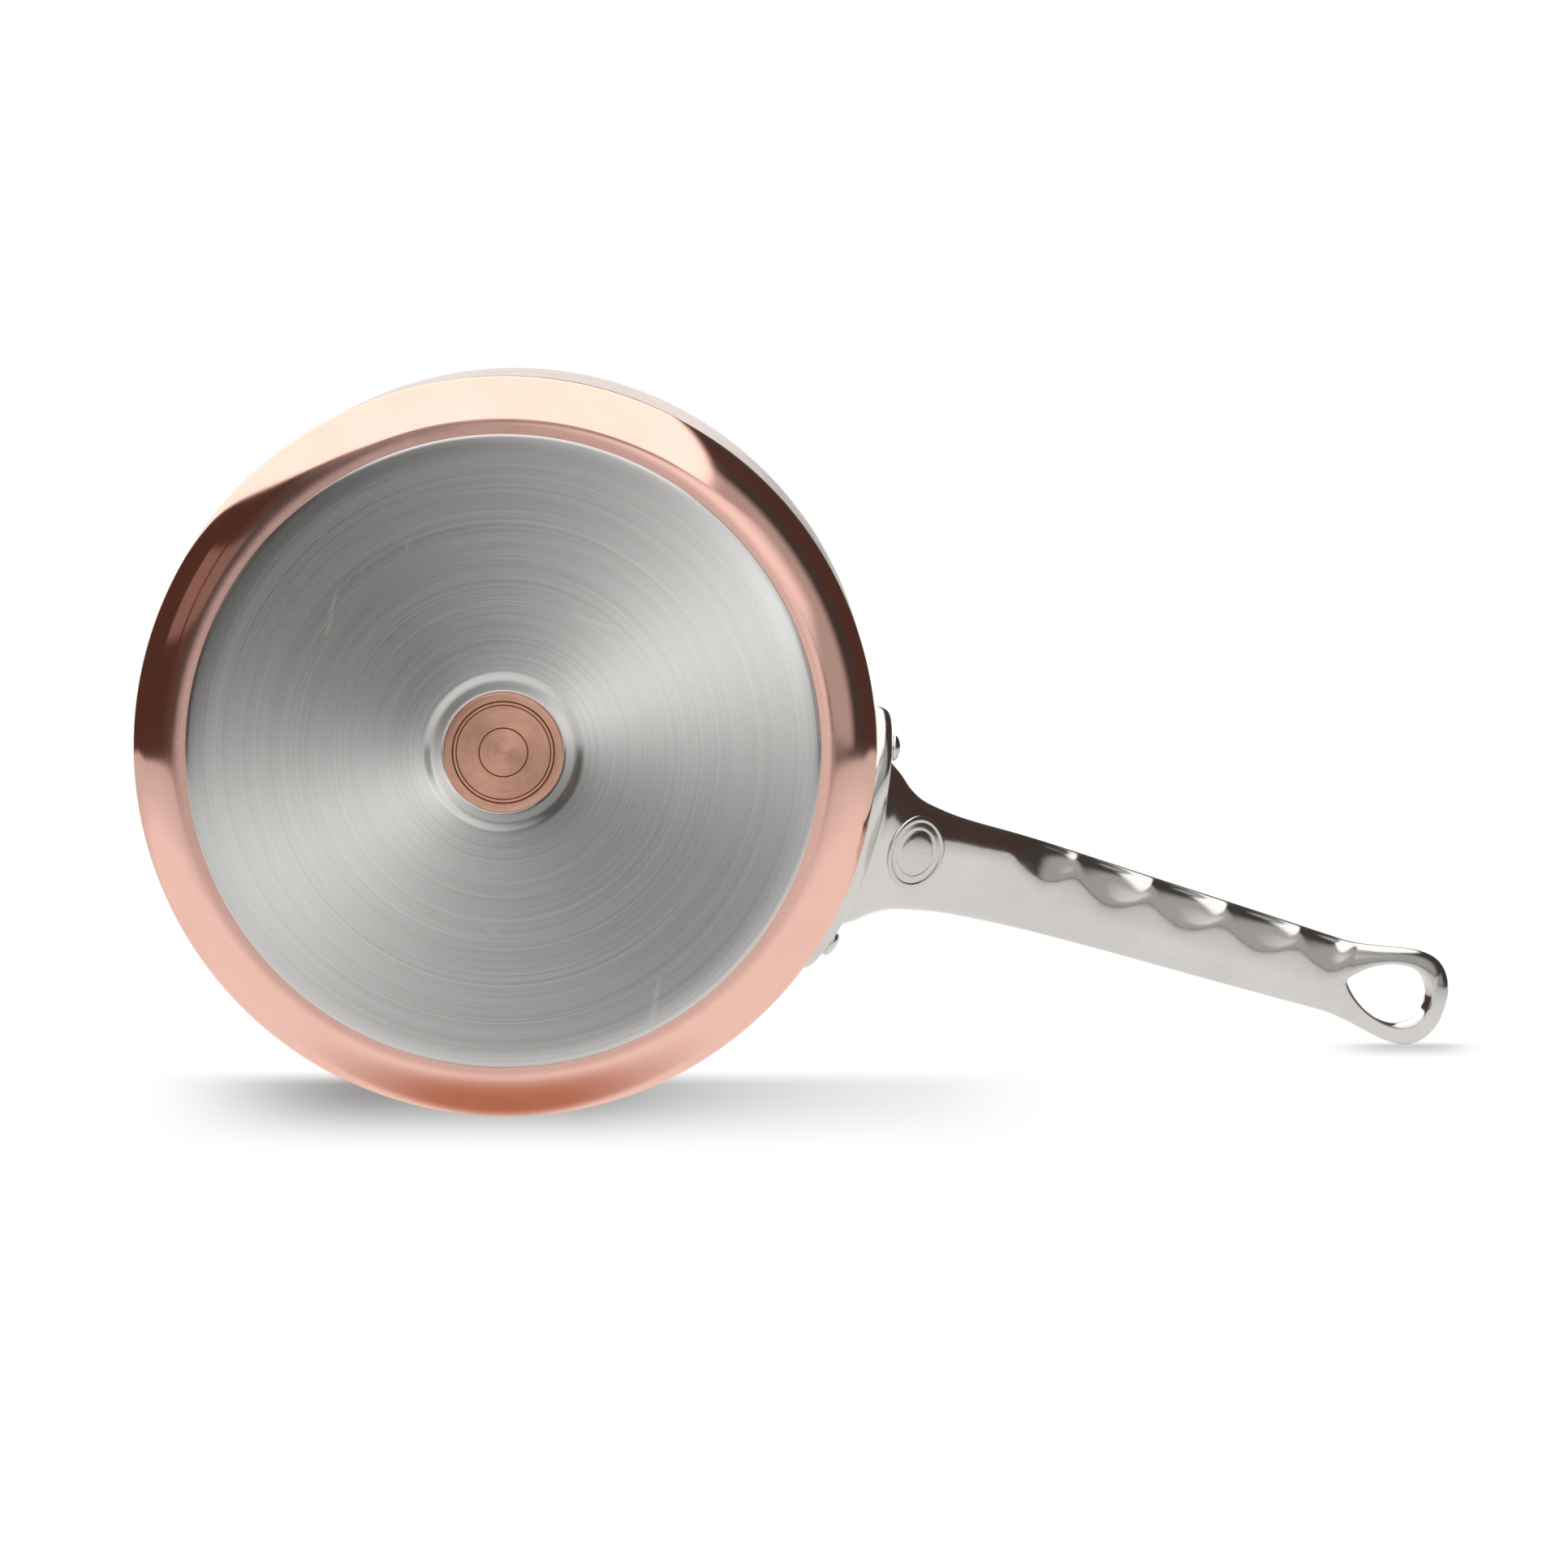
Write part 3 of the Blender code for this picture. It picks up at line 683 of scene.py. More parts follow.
def handle_cage():
    mesh = bpy.data.meshes.new("handle_looks")
    bm = bmesh.new()
    back = BODY_R + FLANGE_GAP
    front = back + FLANGE_T
    rings = [
        flange_ring(back, 0.25), flange_ring(back, 0.50),
        flange_ring(back, 0.75), flange_ring(back, 0.93),
        flange_ring(back, 0.985),
        flange_ring(back + 0.0006, 1.0),
        flange_ring(back + 0.0020, 1.0, FLANGE_LIFT * 0.20),
        flange_ring(front - 0.0018, 1.0, FLANGE_LIFT * 0.45),
        flange_ring(front - 0.0006, 0.985, FLANGE_LIFT * 0.74),
        flange_ring(front - 0.0001, 0.95, FLANGE_LIFT * 0.88),
        flange_ring(front, 0.92, FLANGE_LIFT * 0.95, 0.08),
        flange_ring(front, 0.91, FLANGE_LIFT, 0.26),
        flange_ring(front, 0.90, FLANGE_LIFT, 0.45),
        flange_ring(front, 0.90, FLANGE_LIFT, 0.66),
        blended_root_ring(0.0), blended_root_ring(0.33),
        blended_root_ring(0.66),
    ]
    reaches = [STATIONS[0][0]]
    step = 0.0015
    while reaches[-1] + step < 0.1415:
        reaches.append(reaches[-1] + step)
    grip_step = SCALLOP_PITCH / 16.0
    reaches += [SCALLOP_FIRST + grip_step * i
                for i in range(int(SCALLOP_COUNT * 16) - 1)]
    reaches = [r for r in reaches if r < EYE_START - 0.0012]
    rings += [neck_ring(r) for r in reaches]
    half = RING_POINTS // 2

    def add(ring):
        return [bm.verts.new(p) for p in ring]

    def bridge(a, b, indices):
        for i in indices:
            j = (i + 1) % RING_POINTS
            bm.faces.new((a[i], a[j], b[j], b[i]))

    everything = range(RING_POINTS)
    centre = bm.verts.new(on_wall(back, 0.0, FLANGE_Z))
    rows = [add(r) for r in rings]
    for i in everything:
        bm.faces.new((centre, rows[0][(i + 1) % RING_POINTS], rows[0][i]))
    for a, b in zip(rows, rows[1:]):
        bridge(a, b, everything)

    def column(ring):
        top, bottom = ring[0].co, ring[half].co
        return [ring[0], bm.verts.new(top.lerp(bottom, 0.5)), ring[half]]

    eye_count = 20
    start = add(neck_ring(EYE_START))
    bridge(rows[-1], start, everything)
    start_col = column(start)
    right, left = start, start
    right_col, left_col = start_col, start_col
    for k in range(1, eye_count):
        f = k / eye_count
        f = 0.5 - 0.5 * math.cos(math.pi * f)
        reach = EYE_START + (EYE_END - EYE_START) * f
        inner = eye_half_width(reach)
        pts = neck_ring(reach, inner)
        sides = []
        for sign in (1.0, -1.0):
            ring = {}
            for i in everything:
                x, y, z = pts[i]
                if i in (0, half):
                    y = sign * inner
                elif (i < half) != (sign > 0.0):
                    continue
                ring[i] = bm.verts.new((x, y, z))
            mid = ring[0].co.lerp(ring[half].co, 0.5)
            col = [ring[0], bm.verts.new(mid), ring[half]]
            sides.append((ring, col))
        (new_right, new_right_col), (new_left, new_left_col) = sides
        for i in range(half):
            bm.faces.new((right[i], right[i + 1],
                          new_right[i + 1], new_right[i]))
        for i in range(half, RING_POINTS):
            j = (i + 1) % RING_POINTS
            bm.faces.new((left[i], left[j], new_left[j], new_left[i]))
        for m in range(2):
            bm.faces.new((right_col[m], new_right_col[m],
                          new_right_col[m + 1], right_col[m + 1]))
            bm.faces.new((left_col[m + 1], new_left_col[m + 1],
                          new_left_col[m], left_col[m]))
        right, left = new_right, new_left
        right_col, left_col = new_right_col, new_left_col
    end = add(neck_ring(EYE_END))
    end_col = column(end)
    for i in range(half):
        bm.faces.new((right[i], right[i + 1], end[i + 1], end[i]))
    for i in range(half, RING_POINTS):
        j = (i + 1) % RING_POINTS
        bm.faces.new((left[i], left[j], end[j], end[i]))
    for m in range(2):
        bm.faces.new((right_col[m], end_col[m],
                      end_col[m + 1], right_col[m + 1]))
        bm.faces.new((left_col[m + 1], end_col[m + 1],
                      end_col[m], left_col[m]))
    tail = [add(neck_ring(r)) for r in (0.2808, 0.2820, 0.2832, 0.2840,
                                        0.2845, 0.2847)]
    last = end
    for ring in tail:
        bridge(last, ring, everything)
        last = ring
    tip = bm.verts.new((HANDLE_TIP[0], 0.0, HANDLE_TIP[1]))
    for i in everything:
        bm.faces.new((last[i], last[(i + 1) % RING_POINTS], tip))
    bmesh.ops.recalc_face_normals(bm, faces=bm.faces)
    for face in bm.faces:
        face.smooth = True
    bm.to_mesh(mesh)
    bm.free()
    return mesh


def rounded(obj, levels):
    """Applies a subdivision surface and keeps the result as plain mesh."""
    mod = obj.modifiers.new("round", "SUBSURF")
    mod.levels = levels
    mod.render_levels = levels
    bpy.context.view_layer.update()
    done = bpy.data.meshes.new_from_object(
        obj.evaluated_get(bpy.context.evaluated_depsgraph_get()))
    obj.modifiers.clear()
    obj.data = done
    for p in done.polygons:
        p.use_smooth = True


cage = handle_cage()
cage.materials.append(CAST)
handle = show(bpy.data.objects.new("handle_looks", cage),
              "cast_steel", "handle")
rounded(handle, 1)


# ------------------------------------------------- plain boss on the neck
def neck_boss(reach=0.1158, across=-0.0022):
    """A plain oval boss on the underside of the neck, laid on its surface."""
    tree = BVHTree.FromPolygons([v.co.copy() for v in handle.data.vertices],
                                [tuple(p.vertices)
                                 for p in handle.data.polygons])
    z0, w, h, p, slope = station_at(reach)
    out = Vector((math.sin(slope), 0.0, -math.cos(slope)))
    along = Vector((math.cos(slope), 0.0, math.sin(slope)))
    side = Vector((0.0, 1.0, 0.0))
    centre = Vector((reach, across, z0)) + out * (h + 0.002)
    rows = ((0.0, 0.00042), (0.0015, 0.00041), (0.0030, 0.00038),
            (0.0044, 0.00032), (0.0053, 0.00025), (0.0058, 0.00010),
            (0.0061, -0.00004), (0.0064, -0.00004), (0.0067, 0.00008),
            (0.0070, 0.00018), (0.0078, 0.00020), (0.0086, 0.00020),
            (0.0089, 0.00026), (0.0092, 0.00050), (0.0096, 0.00060),
            (0.0100, 0.00058), (0.0103, 0.00042), (0.0105, 0.00012),
            (0.0107, -0.00030), (0.0108, -0.00060))
    steps = 96
    bm = bmesh.new()

    def laid(r, height, angle):
        at = (centre + along * (r * math.cos(angle) * 0.96)
              + side * (r * math.sin(angle)))
        hit, normal, _, _ = tree.ray_cast(at + out * 0.004, -out, 0.03)
        if hit is None:
            hit = at
        return hit + out * height

    rings = []
    for r, height in rows:
        if r == 0.0:
            rings.append([bm.verts.new(laid(0.0, height, 0.0))])
        else:
            rings.append([bm.verts.new(laid(r, height, 2 * math.pi * i / steps))
                          for i in range(steps)])
    foot = [bm.verts.new(v.co - out * 0.0006) for v in rings[-1]]
    middle = bm.verts.new(rings[0][0].co - out * 0.0016)
    rings += [foot, [middle]]
    for a, b in zip(rings, rings[1:]):
        for i in range(steps):
            j = (i + 1) % steps
            if len(a) == 1:
                bm.faces.new((a[0], b[i], b[j]))
            elif len(b) == 1:
                bm.faces.new((a[i], b[0], a[j]))
            else:
                bm.faces.new((a[i], b[i], b[j], a[j]))
    bmesh.ops.recalc_face_normals(bm, faces=bm.faces)
    for e in bm.edges:
        e.smooth = e.calc_face_angle(0.0) < math.radians(50)
    for f in bm.faces:
        f.smooth = True
    mesh = bpy.data.meshes.new("handle_boss")
    bm.to_mesh(mesh)
    bm.free()
    mesh.materials.append(BOSS)
    return bpy.data.objects.new("handle_boss", mesh)


show(neck_boss(), "cast_steel")

# ------------------------------------------------------------------ rivets
INNER_FACE = BODY_R - COPPER_T - GAP - LINING_T
OUTER_SEAT = BODY_R + FLANGE_GAP + FLANGE_T + GAP
INNER_SEAT = INNER_FACE - 2.0 * GAP
RIVET_MID = 0.5 * (OUTER_SEAT + INNER_SEAT)


def dome(radius, height, base, way, steps):
    """From the rim of a rivet head to its top, with a rolled edge."""
    edge = 0.0004
    out = [(radius - 0.00006, base), (radius, base + way * 0.00014)]
    for i in range(steps + 1):
        a = math.pi / 2 * i / steps
        r = radius * math.cos(a)
        out.append((0.0 if i == steps else r,
                    base + way * (edge + (height - edge) * math.sin(a))))
    return out


def rivet(name, node, angle):
    top = dome(RIVET_HEAD_R, RIVET_HEAD_H, OUTER_SEAT - RIVET_MID, 1.0, 12)
    low = dome(RIVET_INNER_R, RIVET_INNER_H, INNER_SEAT - RIVET_MID, -1.0, 12)
    rows = list(reversed(top))
    rows += [(SHANK_R, OUTER_SEAT - RIVET_MID), (SHANK_R, INNER_SEAT - RIVET_MID)]
    rows += low
    place = (Matrix.Translation((RIVET_MID * math.cos(angle),
                                 RIVET_MID * math.sin(angle), RIVET_Z))
             @ Matrix.Rotation(angle, 4, "Z")
             @ Matrix.Rotation(math.pi / 2, 4, "Y"))
    return show(lathe(name, rows, [RIVET], steps=64, sharp=40.0,
                      matrix=place), "rivet_steel", node)


rivet("rivet_left_looks", "rivet_left", RIVET_ANGLE)
rivet("rivet_right_looks", "rivet_right", -RIVET_ANGLE)

# ------------------------------------------------------------------ camera
yaw, pitch = math.radians(0.459007), math.radians(4.916119)
look = turned_to(math.sin(yaw) * math.cos(pitch), math.sin(pitch),
                 math.cos(yaw) * math.cos(pitch))
cam_right = turned_to(math.cos(yaw), 0.0, -math.sin(yaw))
cam_down = look.cross(cam_right)
EYE = turned_to(0.06164101, -0.14618944, -1.8)
camera_data = bpy.data.cameras.new("camera")
camera_data.sensor_width = 36.0
camera_data.sensor_fit = "HORIZONTAL"
camera_data.lens = 152.944
camera_data.clip_start = 0.05
camera_data.clip_end = 40.0
camera = bpy.data.objects.new("camera", camera_data)
scene.collection.objects.link(camera)
camera.matrix_world = Matrix((
    (cam_right.x, -cam_down.x, -look.x, EYE.x),
    (cam_right.y, -cam_down.y, -look.y, EYE.y),
    (cam_right.z, -cam_down.z, -look.z, EYE.z),
    (0.0, 0.0, 0.0, 1.0)))
scene.camera = camera

# ------------------------------------------------------------------- stage
scene.view_settings.view_transform = "Standard"
scene.view_settings.look = "None"
scene.view_settings.exposure = 0.0
scene.view_settings.gamma = 1.0


def camera_only(obj, shadow=False):
    obj.visible_glossy = False
    obj.visible_diffuse = False
    obj.visible_transmission = False
    obj.visible_volume_scatter = False
    obj.visible_shadow = shadow


def floor_piece():
    """A plain pale floor under the standing pan; it is seen from above
    only, and fades out into the white background."""
    bm = bmesh.new()
    rings, steps = [0.0, 0.35, 0.9, 1.8, 3.6], 64
    z = -0.0004
    rows = [[bm.verts.new((0.0, 0.0, z))]]
    for r in rings[1:]:
        rows.append([bm.verts.new((r * math.cos(2 * math.pi * i / steps),
                                   r * math.sin(2 * math.pi * i / steps), z))
                     for i in range(steps)])
    for a, b in zip(rows, rows[1:]):
        for i in range(steps):
            j = (i + 1) % steps
            if len(a) == 1:
                bm.faces.new((a[0], b[i], b[j]))
            else:
                bm.faces.new((a[i], b[i], b[j], a[j]))
    mesh = bpy.data.meshes.new("floor")
    bm.to_mesh(mesh)
    bm.free()
    mat = bpy.data.materials.new("floor_pale")
    mat.use_nodes = True
    g = Graph(mat.node_tree)
    g.nodes.clear()
    place = g.node("ShaderNodeTexCoord").outputs["Object"]
    x, y, _ = g.split(place)
    radius = g.math("SQRT", g.add(g.mul(x, x), g.mul(y, y)))
    paint = g.node("ShaderNodeBsdfDiffuse")
    speck = g.noise(place, 30.0, 4.0, 0.6)
    g.links.new(g.colour(speck, (0.86, 0.855, 0.85), (0.90, 0.895, 0.89)),
                paint.inputs["Color"])
    glow = g.node("ShaderNodeEmission")
    glow.inputs["Color"].default_value = (1.0, 0.995, 0.99, 1.0)
    glow.inputs["Strength"].default_value = 0.20
    lit = g.node("ShaderNodeAddShader")
    g.links.new(paint.outputs[0], lit.inputs[0])
    g.links.new(glow.outputs[0], lit.inputs[1])
    clear = g.node("ShaderNodeBsdfTransparent")
    mix = g.node("ShaderNodeMixShader")
    under = g.node("ShaderNodeNewGeometry").outputs["Backfacing"]
    far = g.step(radius, 0.45, 1.9)
    g.links.new(g.math("MAXIMUM", under, far), mix.inputs[0])
    g.links.new(lit.outputs[0], mix.inputs[1])
    g.links.new(clear.outputs[0], mix.inputs[2])
    out = g.node("ShaderNodeOutputMaterial")
    g.links.new(mix.outputs[0], out.inputs[0])
    mesh.materials.append(mat)
    obj = bpy.data.objects.new("floor", mesh)
    looks.objects.link(obj)
    camera_only(obj)
    return obj


floor_piece()


def on_card(px, py, z=-0.0012):
    """Where the main view's line through a point of its 1932-wide frame
    meets the level z."""
    f = 152.944 / 36.0 * 1932.0
    line = (look + cam_right * ((px - 966.0) / f)
            + cam_down * ((py - 966.0) / f))
    return EYE + line * ((z - EYE.z) / line.z)


def w_exp(g, value):
    return g.math("EXPONENT", value)


def shadow_card():
    """The soft contact shadow of the pan lying on its side, drawn on a card
    just under the floor, where only the main view sees it."""
    corners = [on_card(*c) for c in ((120, 1296), (1330, 1296),
                                     (1330, 1440), (120, 1440))]
    mesh = bpy.data.meshes.new("contact_shadow")
    nx, ny = 24, 6
    bm = bmesh.new()
    grid = []
    for j in range(ny + 1):
        row = []
        for i in range(nx + 1):
            a = corners[0].lerp(corners[1], i / nx)
            b = corners[3].lerp(corners[2], i / nx)
            row.append(bm.verts.new(a.lerp(b, j / ny)))
        grid.append(row)
    uv = bm.loops.layers.uv.new("card")
    for j in range(ny):
        for i in range(nx):
            face = bm.faces.new((grid[j][i], grid[j][i + 1],
                                 grid[j + 1][i + 1], grid[j + 1][i]))
            for loop, (u, v) in zip(face.loops, ((i, j), (i + 1, j),
                                                 (i + 1, j + 1), (i, j + 1))):
                loop[uv].uv = (u / nx, v / ny)
    bm.to_mesh(mesh)
    bm.free()
    mat = bpy.data.materials.new("contact_shadow")
    mat.use_nodes = True
    g = Graph(mat.node_tree)
    g.nodes.clear()
    card = g.node("ShaderNodeUVMap", uv_map="card").outputs[0]
    u, v, _ = g.split(card)
    px = g.remap(u, 0.0, 1.0, 120.0, 1330.0)
    py = g.remap(v, 0.0, 1.0, 1296.0, 1440.0)
    # darkest beside the line of contact: it fades slowly to the right, and
    # sooner to the left
    far_right = w_exp(g, g.div(g.sub(px, 724.0), -262.0))
    on_right = g.mul(g.math("MINIMUM", far_right, 1.0),
                     g.step(px, 1320.0, 1120.0))
    on_left = g.step(px, 165.0, 470.0)
    spread = g.math("MINIMUM", on_right, on_left)
    above = g.step(py, SHADOW_TOP[0], SHADOW_TOP[1])
    below = g.step(py, SHADOW_LOW[1], SHADOW_LOW[0])
    dark = g.mul(g.both(spread, above, below), SHADOW_DARK)
    # nothing over the pan itself
    dx = g.sub(px, SIL[0])
    dy = g.sub(py, SIL[1])
    away = g.math("SQRT", g.add(g.mul(dx, dx), g.mul(dy, dy)))
    dark = g.mul(dark, g.step(away, SIL[2] - 1.0, SIL[2] + 1.0))
    under = g.node("ShaderNodeNewGeometry").outputs["Backfacing"]
    clear = g.node("ShaderNodeBsdfTransparent")
    # the dark colour of the painted contact shadow
    painted_shade = g.node("ShaderNodeEmission")
    painted_shade.inputs["Color"].default_value = (0.060, 0.052, 0.046, 1.0)
    painted_shade.inputs["Strength"].default_value = 1.0
    mix = g.node("ShaderNodeMixShader")
    g.links.new(dark, mix.inputs[0])
    g.links.new(clear.outputs[0], mix.inputs[1])
    g.links.new(painted_shade.outputs[0], mix.inputs[2])
    out = g.node("ShaderNodeOutputMaterial")
    g.links.new(mix.outputs[0], out.inputs[0])
    mesh.materials.append(mat)
    obj = bpy.data.objects.new("contact_shadow", mesh)
    looks.objects.link(obj)
    camera_only(obj)
    return obj


def silhouette():
    """Centre and radius, in the main view's frame, of the round outline of
    the copper where it leaves the corner."""
    f = 152.944 / 36.0 * 1932.0
    z = BODY_Z0 + CORNER_R
    pts = []
    for a in (90.0, 60.0, 120.0):
        p = turned_to(BODY_R * math.cos(math.radians(a)),
                      BODY_R * math.sin(math.radians(a)), z) - EYE
        depth = p.dot(look)
        pts.append((966.0 + f * p.dot(cam_right) / depth,
                    966.0 + f * p.dot(cam_down) / depth))
    (ax, ay), (bx, by), (cx, cy) = pts
    d = 2 * (ax * (by - cy) + bx * (cy - ay) + cx * (ay - by))
    ux = ((ax ** 2 + ay ** 2) * (by - cy) + (bx ** 2 + by ** 2) * (cy - ay)
          + (cx ** 2 + cy ** 2) * (ay - by)) / d
    uy = ((ax ** 2 + ay ** 2) * (cx - bx) + (bx ** 2 + by ** 2) * (ax - cx)
          + (cx ** 2 + cy ** 2) * (bx - ax)) / d
    return ux, uy, math.hypot(ax - ux, ay - uy)


def shade_card():
    """The shaded strip of table top right under the resting pan. Only its
    reflection in the metal is seen."""
    bm = bmesh.new()
    nx, nz = 16, 10
    grid = [[bm.verts.new(turned_to(-0.08 + 0.16 * i / nx, BODY_R + 0.0003,
                                    -0.045 + 0.070 * k / nz))
             for i in range(nx + 1)] for k in range(nz + 1)]
    for k in range(nz):
        for i in range(nx):
            bm.faces.new((grid[k][i], grid[k][i + 1],
                          grid[k + 1][i + 1], grid[k + 1][i]))
    mesh = bpy.data.meshes.new("table_shade")
    bm.to_mesh(mesh)
    bm.free()
    mat = bpy.data.materials.new("table_shade")
    mat.use_nodes = True
    g = Graph(mat.node_tree)
    g.nodes.clear()
    place = g.node("ShaderNodeTexCoord").outputs["Object"]
    across = g.math("ABSOLUTE", g.dot(place, RIGHT))
    depth = g.dot(place, (0.0, 0.0, 1.0))
    dark = g.both(g.step(across, 0.076, 0.012), g.step(depth, -0.042, 0.004),
                  g.step(depth, 0.016, 0.007))
    # the orange-brown colour of the painted shade, warmed by the copper's glow on
    # the table
    painted_shade = g.node("ShaderNodeEmission")
    painted_shade.inputs["Color"].default_value = (0.47, 0.25, 0.17, 1.0)
    clear = g.node("ShaderNodeBsdfTransparent")
    mix = g.node("ShaderNodeMixShader")
    g.links.new(dark, mix.inputs[0])
    g.links.new(clear.outputs[0], mix.inputs[1])
    g.links.new(painted_shade.outputs[0], mix.inputs[2])
    out = g.node("ShaderNodeOutputMaterial")
    g.links.new(mix.outputs[0], out.inputs[0])
    mesh.materials.append(mat)
    obj = bpy.data.objects.new("table_shade", mesh)
    looks.objects.link(obj)
    obj.visible_camera = False
    obj.visible_diffuse = False
    obj.visible_transmission = False
    obj.visible_volume_scatter = False
    obj.visible_shadow = False


shade_card()
SIL = silhouette()
SHADOW_TOP = (1317.0, 1338.0)
SHADOW_LOW = (1344.0, 1422.0)
SHADOW_DARK = 0.72
shadow_card()


def tip_shadow():
    """The small shadow where the end of the handle nears the table."""
    corners = [on_card(*c) for c in ((1600, 1276), (1850, 1276),
                                     (1850, 1312), (1600, 1312))]
    mesh = bpy.data.meshes.new("tip_shadow")
    bm = bmesh.new()
    uv = bm.loops.layers.uv.new("card")
    face = bm.faces.new([bm.verts.new(c) for c in corners])
    for loop, at in zip(face.loops, ((0, 0), (1, 0), (1, 1), (0, 1))):
        loop[uv].uv = at
    bm.to_mesh(mesh)
    bm.free()
    mat = bpy.data.materials.new("tip_shadow")
    mat.use_nodes = True
    g = Graph(mat.node_tree)
    g.nodes.clear()
    u, v, _ = g.split(g.node("ShaderNodeUVMap", uv_map="card").outputs[0])
    px = g.remap(u, 0.0, 1.0, 1600.0, 1850.0)
    py = g.remap(v, 0.0, 1.0, 1276.0, 1312.0)
    dark = g.mul(g.both(g.step(px, 1625.0, 1722.0), g.step(px, 1835.0, 1752.0),
                        g.step(py, 1283.0, 1289.0),
                        g.step(py, 1305.0, 1288.0)), 0.42)
    clear = g.node("ShaderNodeBsdfTransparent")
    # the dark colour of the painted shadow at the handle's end
    painted_shade = g.node("ShaderNodeEmission")
    painted_shade.inputs["Color"].default_value = (0.060, 0.052, 0.046, 1.0)
    mix = g.node("ShaderNodeMixShader")
    g.links.new(dark, mix.inputs[0])
    g.links.new(clear.outputs[0], mix.inputs[1])
    g.links.new(painted_shade.outputs[0], mix.inputs[2])
    out = g.node("ShaderNodeOutputMaterial")
    g.links.new(mix.outputs[0], out.inputs[0])
    mesh.materials.append(mat)
    obj = bpy.data.objects.new("tip_shadow", mesh)
    looks.objects.link(obj)
    camera_only(obj)


tip_shadow()

# ------------------------------------------------------------------- world
world = bpy.data.worlds.new("studio")
scene.world = world
world.use_nodes = True
w = Graph(world.node_tree)
w.nodes.clear()
ray = w.node("ShaderNodeTexCoord").outputs["Generated"]
r = w.dot(ray, RIGHT)
d = w.dot(ray, DOWN)
z = w.dot(ray, (0.0, 0.0, 1.0))
near = w.math("MAXIMUM", w.mul(z, -1.0), 0.02)      # towards the camera side
up = w.math("MAXIMUM", w.mul(d, -1.0), 0.02)        # away from the table
left = w.math("MAXIMUM", w.mul(r, -1.0), 0.02)
p = w.div(r, near)
q = w.div(d, near)

# what stands round the camera, by direction about the point that the base
# mirrors: a lamp to the upper right, its glow on the table to the lower left
turn = w.math("ARCTAN2", w.sub(q, 0.083), w.add(p, 0.036))
ramp = w.node("ShaderNodeValToRGB")
AROUND = ((-180, 0.42), (-168, 0.14), (-152, 0.01), (-135, 0.01),
          (-115, 0.02), (-90, 0.03), (-74, 0.06), (-60, 0.16), (-46, 0.90),
          (-34, 1.85), (-22, 1.95), (-8, 1.35), (4, 0.82), (15, 0.34),
          (28, 0.06), (48, 0.12), (66, 0.24), (90, 0.32), (112, 0.36),
          (130, 0.70), (146, 1.55), (158, 1.50), (170, 0.90), (180, 0.42))
stops = ramp.color_ramp.elements
for at, value in AROUND[1:-1]:
    stops.new(at / 360.0 + 0.5)
for stop, (at, value) in zip(stops, AROUND):
    stop.position = at / 360.0 + 0.5
    stop.color = (value / 2.0, value / 2.0, value / 2.0, 1.0)
w.put(ramp.inputs[0], w.add(w.div(turn, 2.0 * math.pi), 0.5))
ring_light = w.mul(ramp.outputs[0], 2.0)
off_p = w.add(p, 0.036)
off_q = w.sub(q, 0.083)
off = w.math("SQRT", w.add(w.mul(off_p, off_p), w.mul(off_q, off_q)))

# a dim room, lighter above the camera than beside it
near_axis = w.step(w.mul(z, -1.0), 0.60, 0.93)
glow = w.blend(0.09, 0.30, w.both(w.step(w.mul(q, -1.0), -0.05, 0.22),
                                  w.step(w.div(r, up), -1.1, -0.6)))
light = w.blend(0.060, glow, near_axis)
# a grey wall on the right, seen in the grip
wall = w.both(w.step(r, 0.26, 0.36), w.step(w.mul(z, -1.0), 0.24, 0.60),
              w.step(d, 0.09, 0.05))
light = w.blend(light, 0.46, wall)
# the wide panel above, cut off before the back
px_ = w.div(r, up)
py_ = w.div(w.mul(z, -1.0), up)
above = w.both(w.step(w.sub(px_, w.mul(py_, 0.222)), -1.19, -1.10),
               w.step(w.sub(px_, w.mul(z, -0.15)), 0.75, 0.66),
               w.step(py_, 2.66, 2.46),
               w.step(py_, -11.0, -9.0),
               w.step(w.mul(d, -1.0), 0.02, 0.05))
light = w.blend(light, 1.50, above)
# the pale table top, with its front edge
edge = w.blend(0.102, 0.082, w.step(z, 0.0, 0.6))
table = w.step(w.sub(d, edge), -0.002, 0.006)
light = w.blend(light, w.blend(0.66, 0.92, w.step(d, 0.10, 0.34)), table)
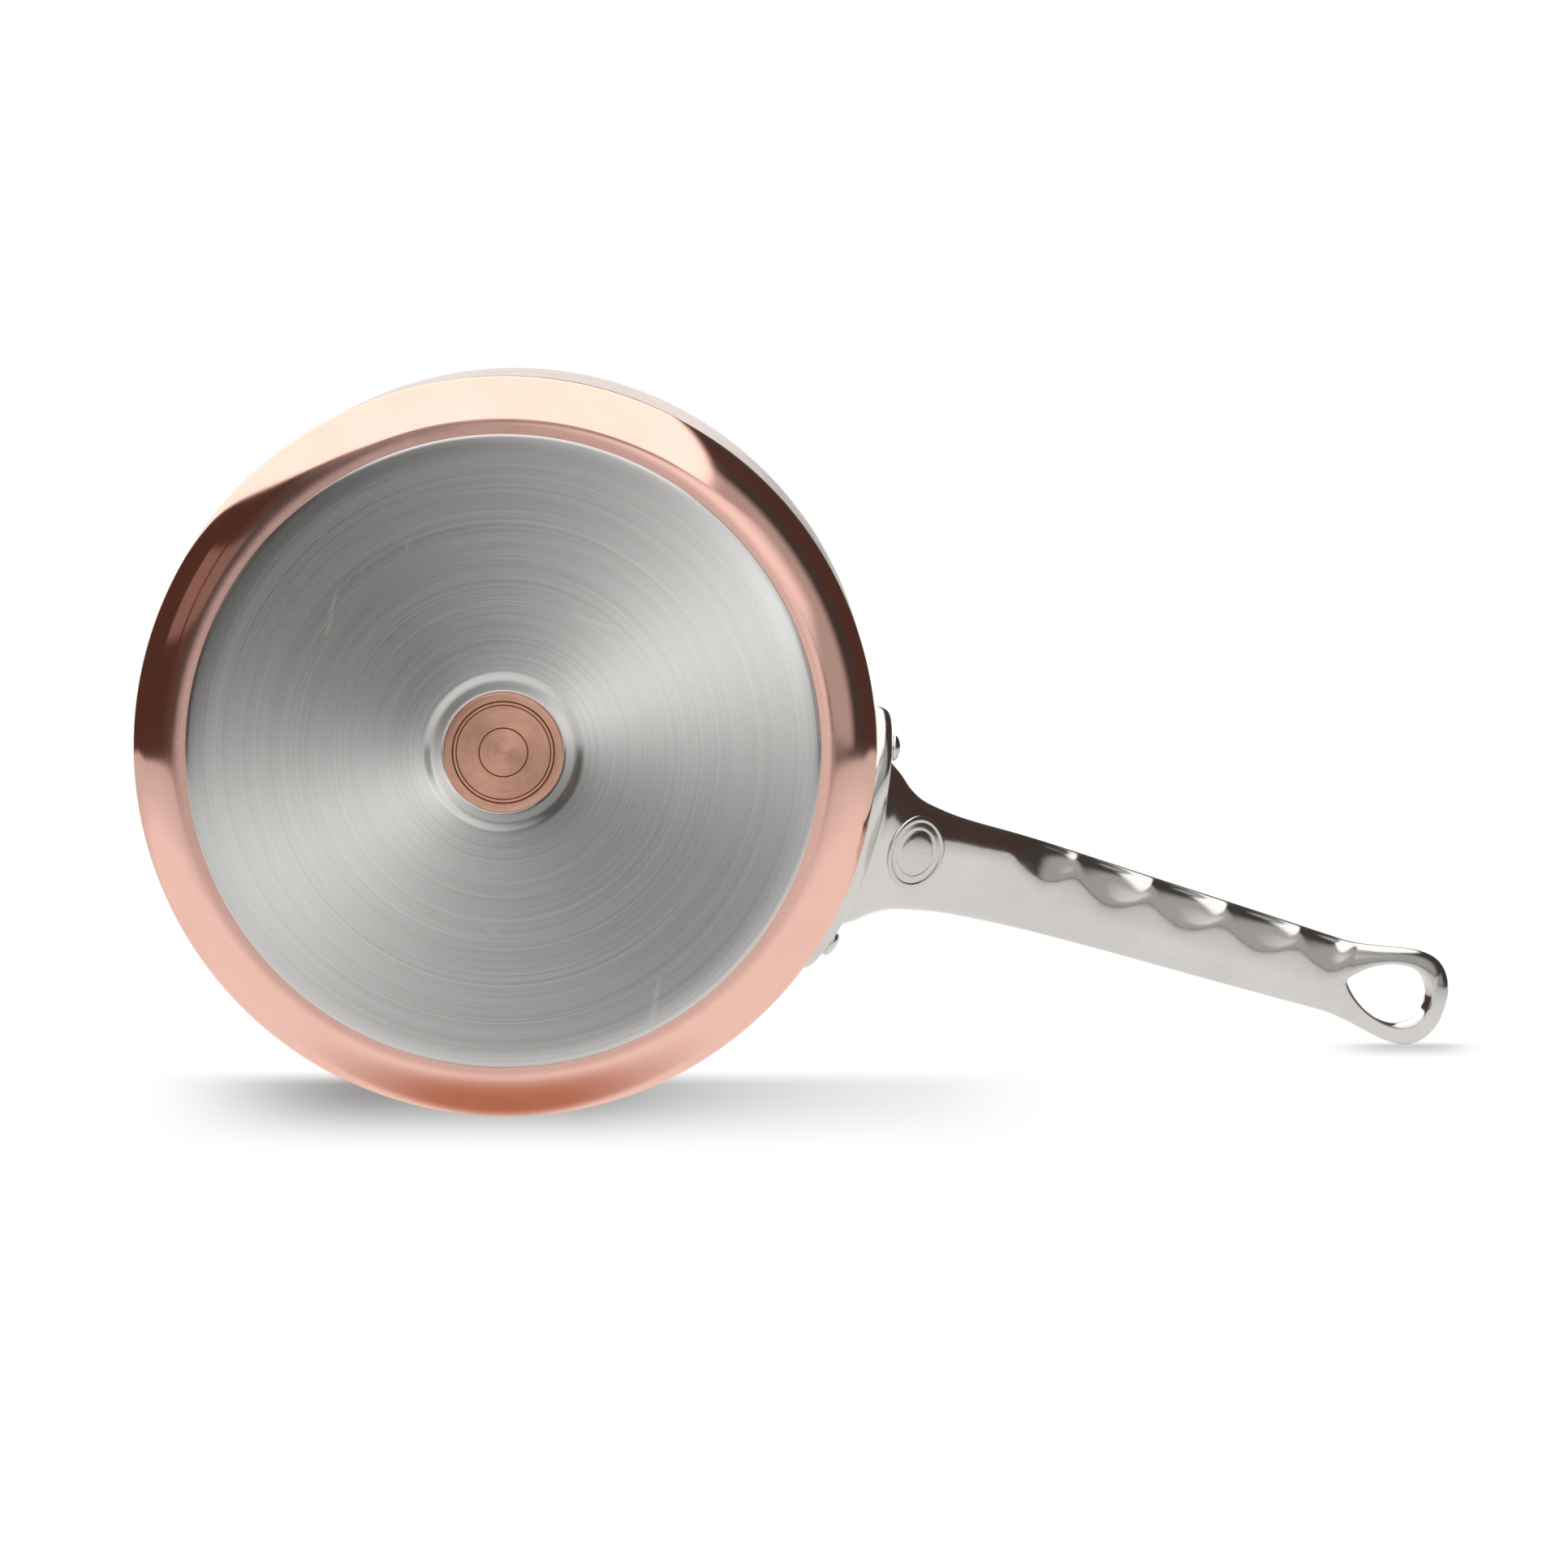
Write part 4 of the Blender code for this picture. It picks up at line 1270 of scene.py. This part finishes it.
# a lamp panel to the upper right, near the camera
lamp_a = w.sub(w.mul(p, 0.906), w.mul(q, 0.423))
lamp_b = w.add(w.mul(p, 0.423), w.mul(q, 0.906))
lamp = w.both(w.step(lamp_a, -0.02, 0.05), w.step(lamp_a, 1.10, 0.16),
              w.step(lamp_b, -0.24, -0.16), w.step(lamp_b, 0.13, 0.05),
              w.step(z, -0.05, -0.2))
light = w.blend(light, 1.10, lamp)
# a window far to the left
wa = w.div(w.mul(d, -1.0), left)
wb = w.div(w.mul(z, -1.0), left)
pane = w.both(w.step(wa, 0.22, 0.25), w.step(wa, 0.60, 0.56),
              w.step(wb, 0.15, 0.22), w.step(wb, 2.5, 2.3),
              w.step(w.math("ABSOLUTE", w.sub(wb, 0.95)), 0.04, 0.07),
              w.step(w.mul(r, -1.0), 0.05, 0.10))
light = w.blend(light, 0.22, pane)
light = w.blend(ring_light, light,
                w.math("MAXIMUM",
                       w.blend(w.step(off, 0.14, 0.26),
                               w.step(off, 0.075, 0.140),
                               w.step(q, 0.11, 0.17)),
                       w.step(z, -0.5, -0.3)))
# the white backdrop, low behind the pan
back = w.both(w.step(z, 0.93, 0.96), w.step(d, -0.062, -0.050),
              w.step(r, 0.060, 0.036))
light = w.blend(light, 0.92, back)
dusk = w.colour(w.math("MAXIMUM", w.step(w.mul(r, -1.0), 0.35, 0.60),
                       w.mul(w.both(w.step(r, 0.30, 0.50),
                                    w.step(z, -0.05, 0.20)), 0.8)),
                (1.0, 0.95, 0.92), (1.35, 0.73, 0.57))
pale = w.colour(0.0, (1.0, 0.990, 0.982), (1.0, 0.990, 0.982))
tone = w.tint(w.step(light, 0.05, 0.45), dusk, pale)
seen = w.node("ShaderNodeLightPath").outputs["Is Camera Ray"]
strength = w.blend(light, 1.0, seen)
shade = w.node("ShaderNodeMix", data_type="RGBA")
w.put(shade.inputs[0], seen)
w.put(shade.inputs[6], tone)
shade.inputs[7].default_value = (1.0, 1.0, 1.0, 1.0)
sky = w.node("ShaderNodeBackground")
w.links.new(shade.outputs[2], sky.inputs["Color"])
w.links.new(strength, sky.inputs["Strength"])
end = w.node("ShaderNodeOutputWorld")
w.links.new(sky.outputs[0], end.inputs[0])
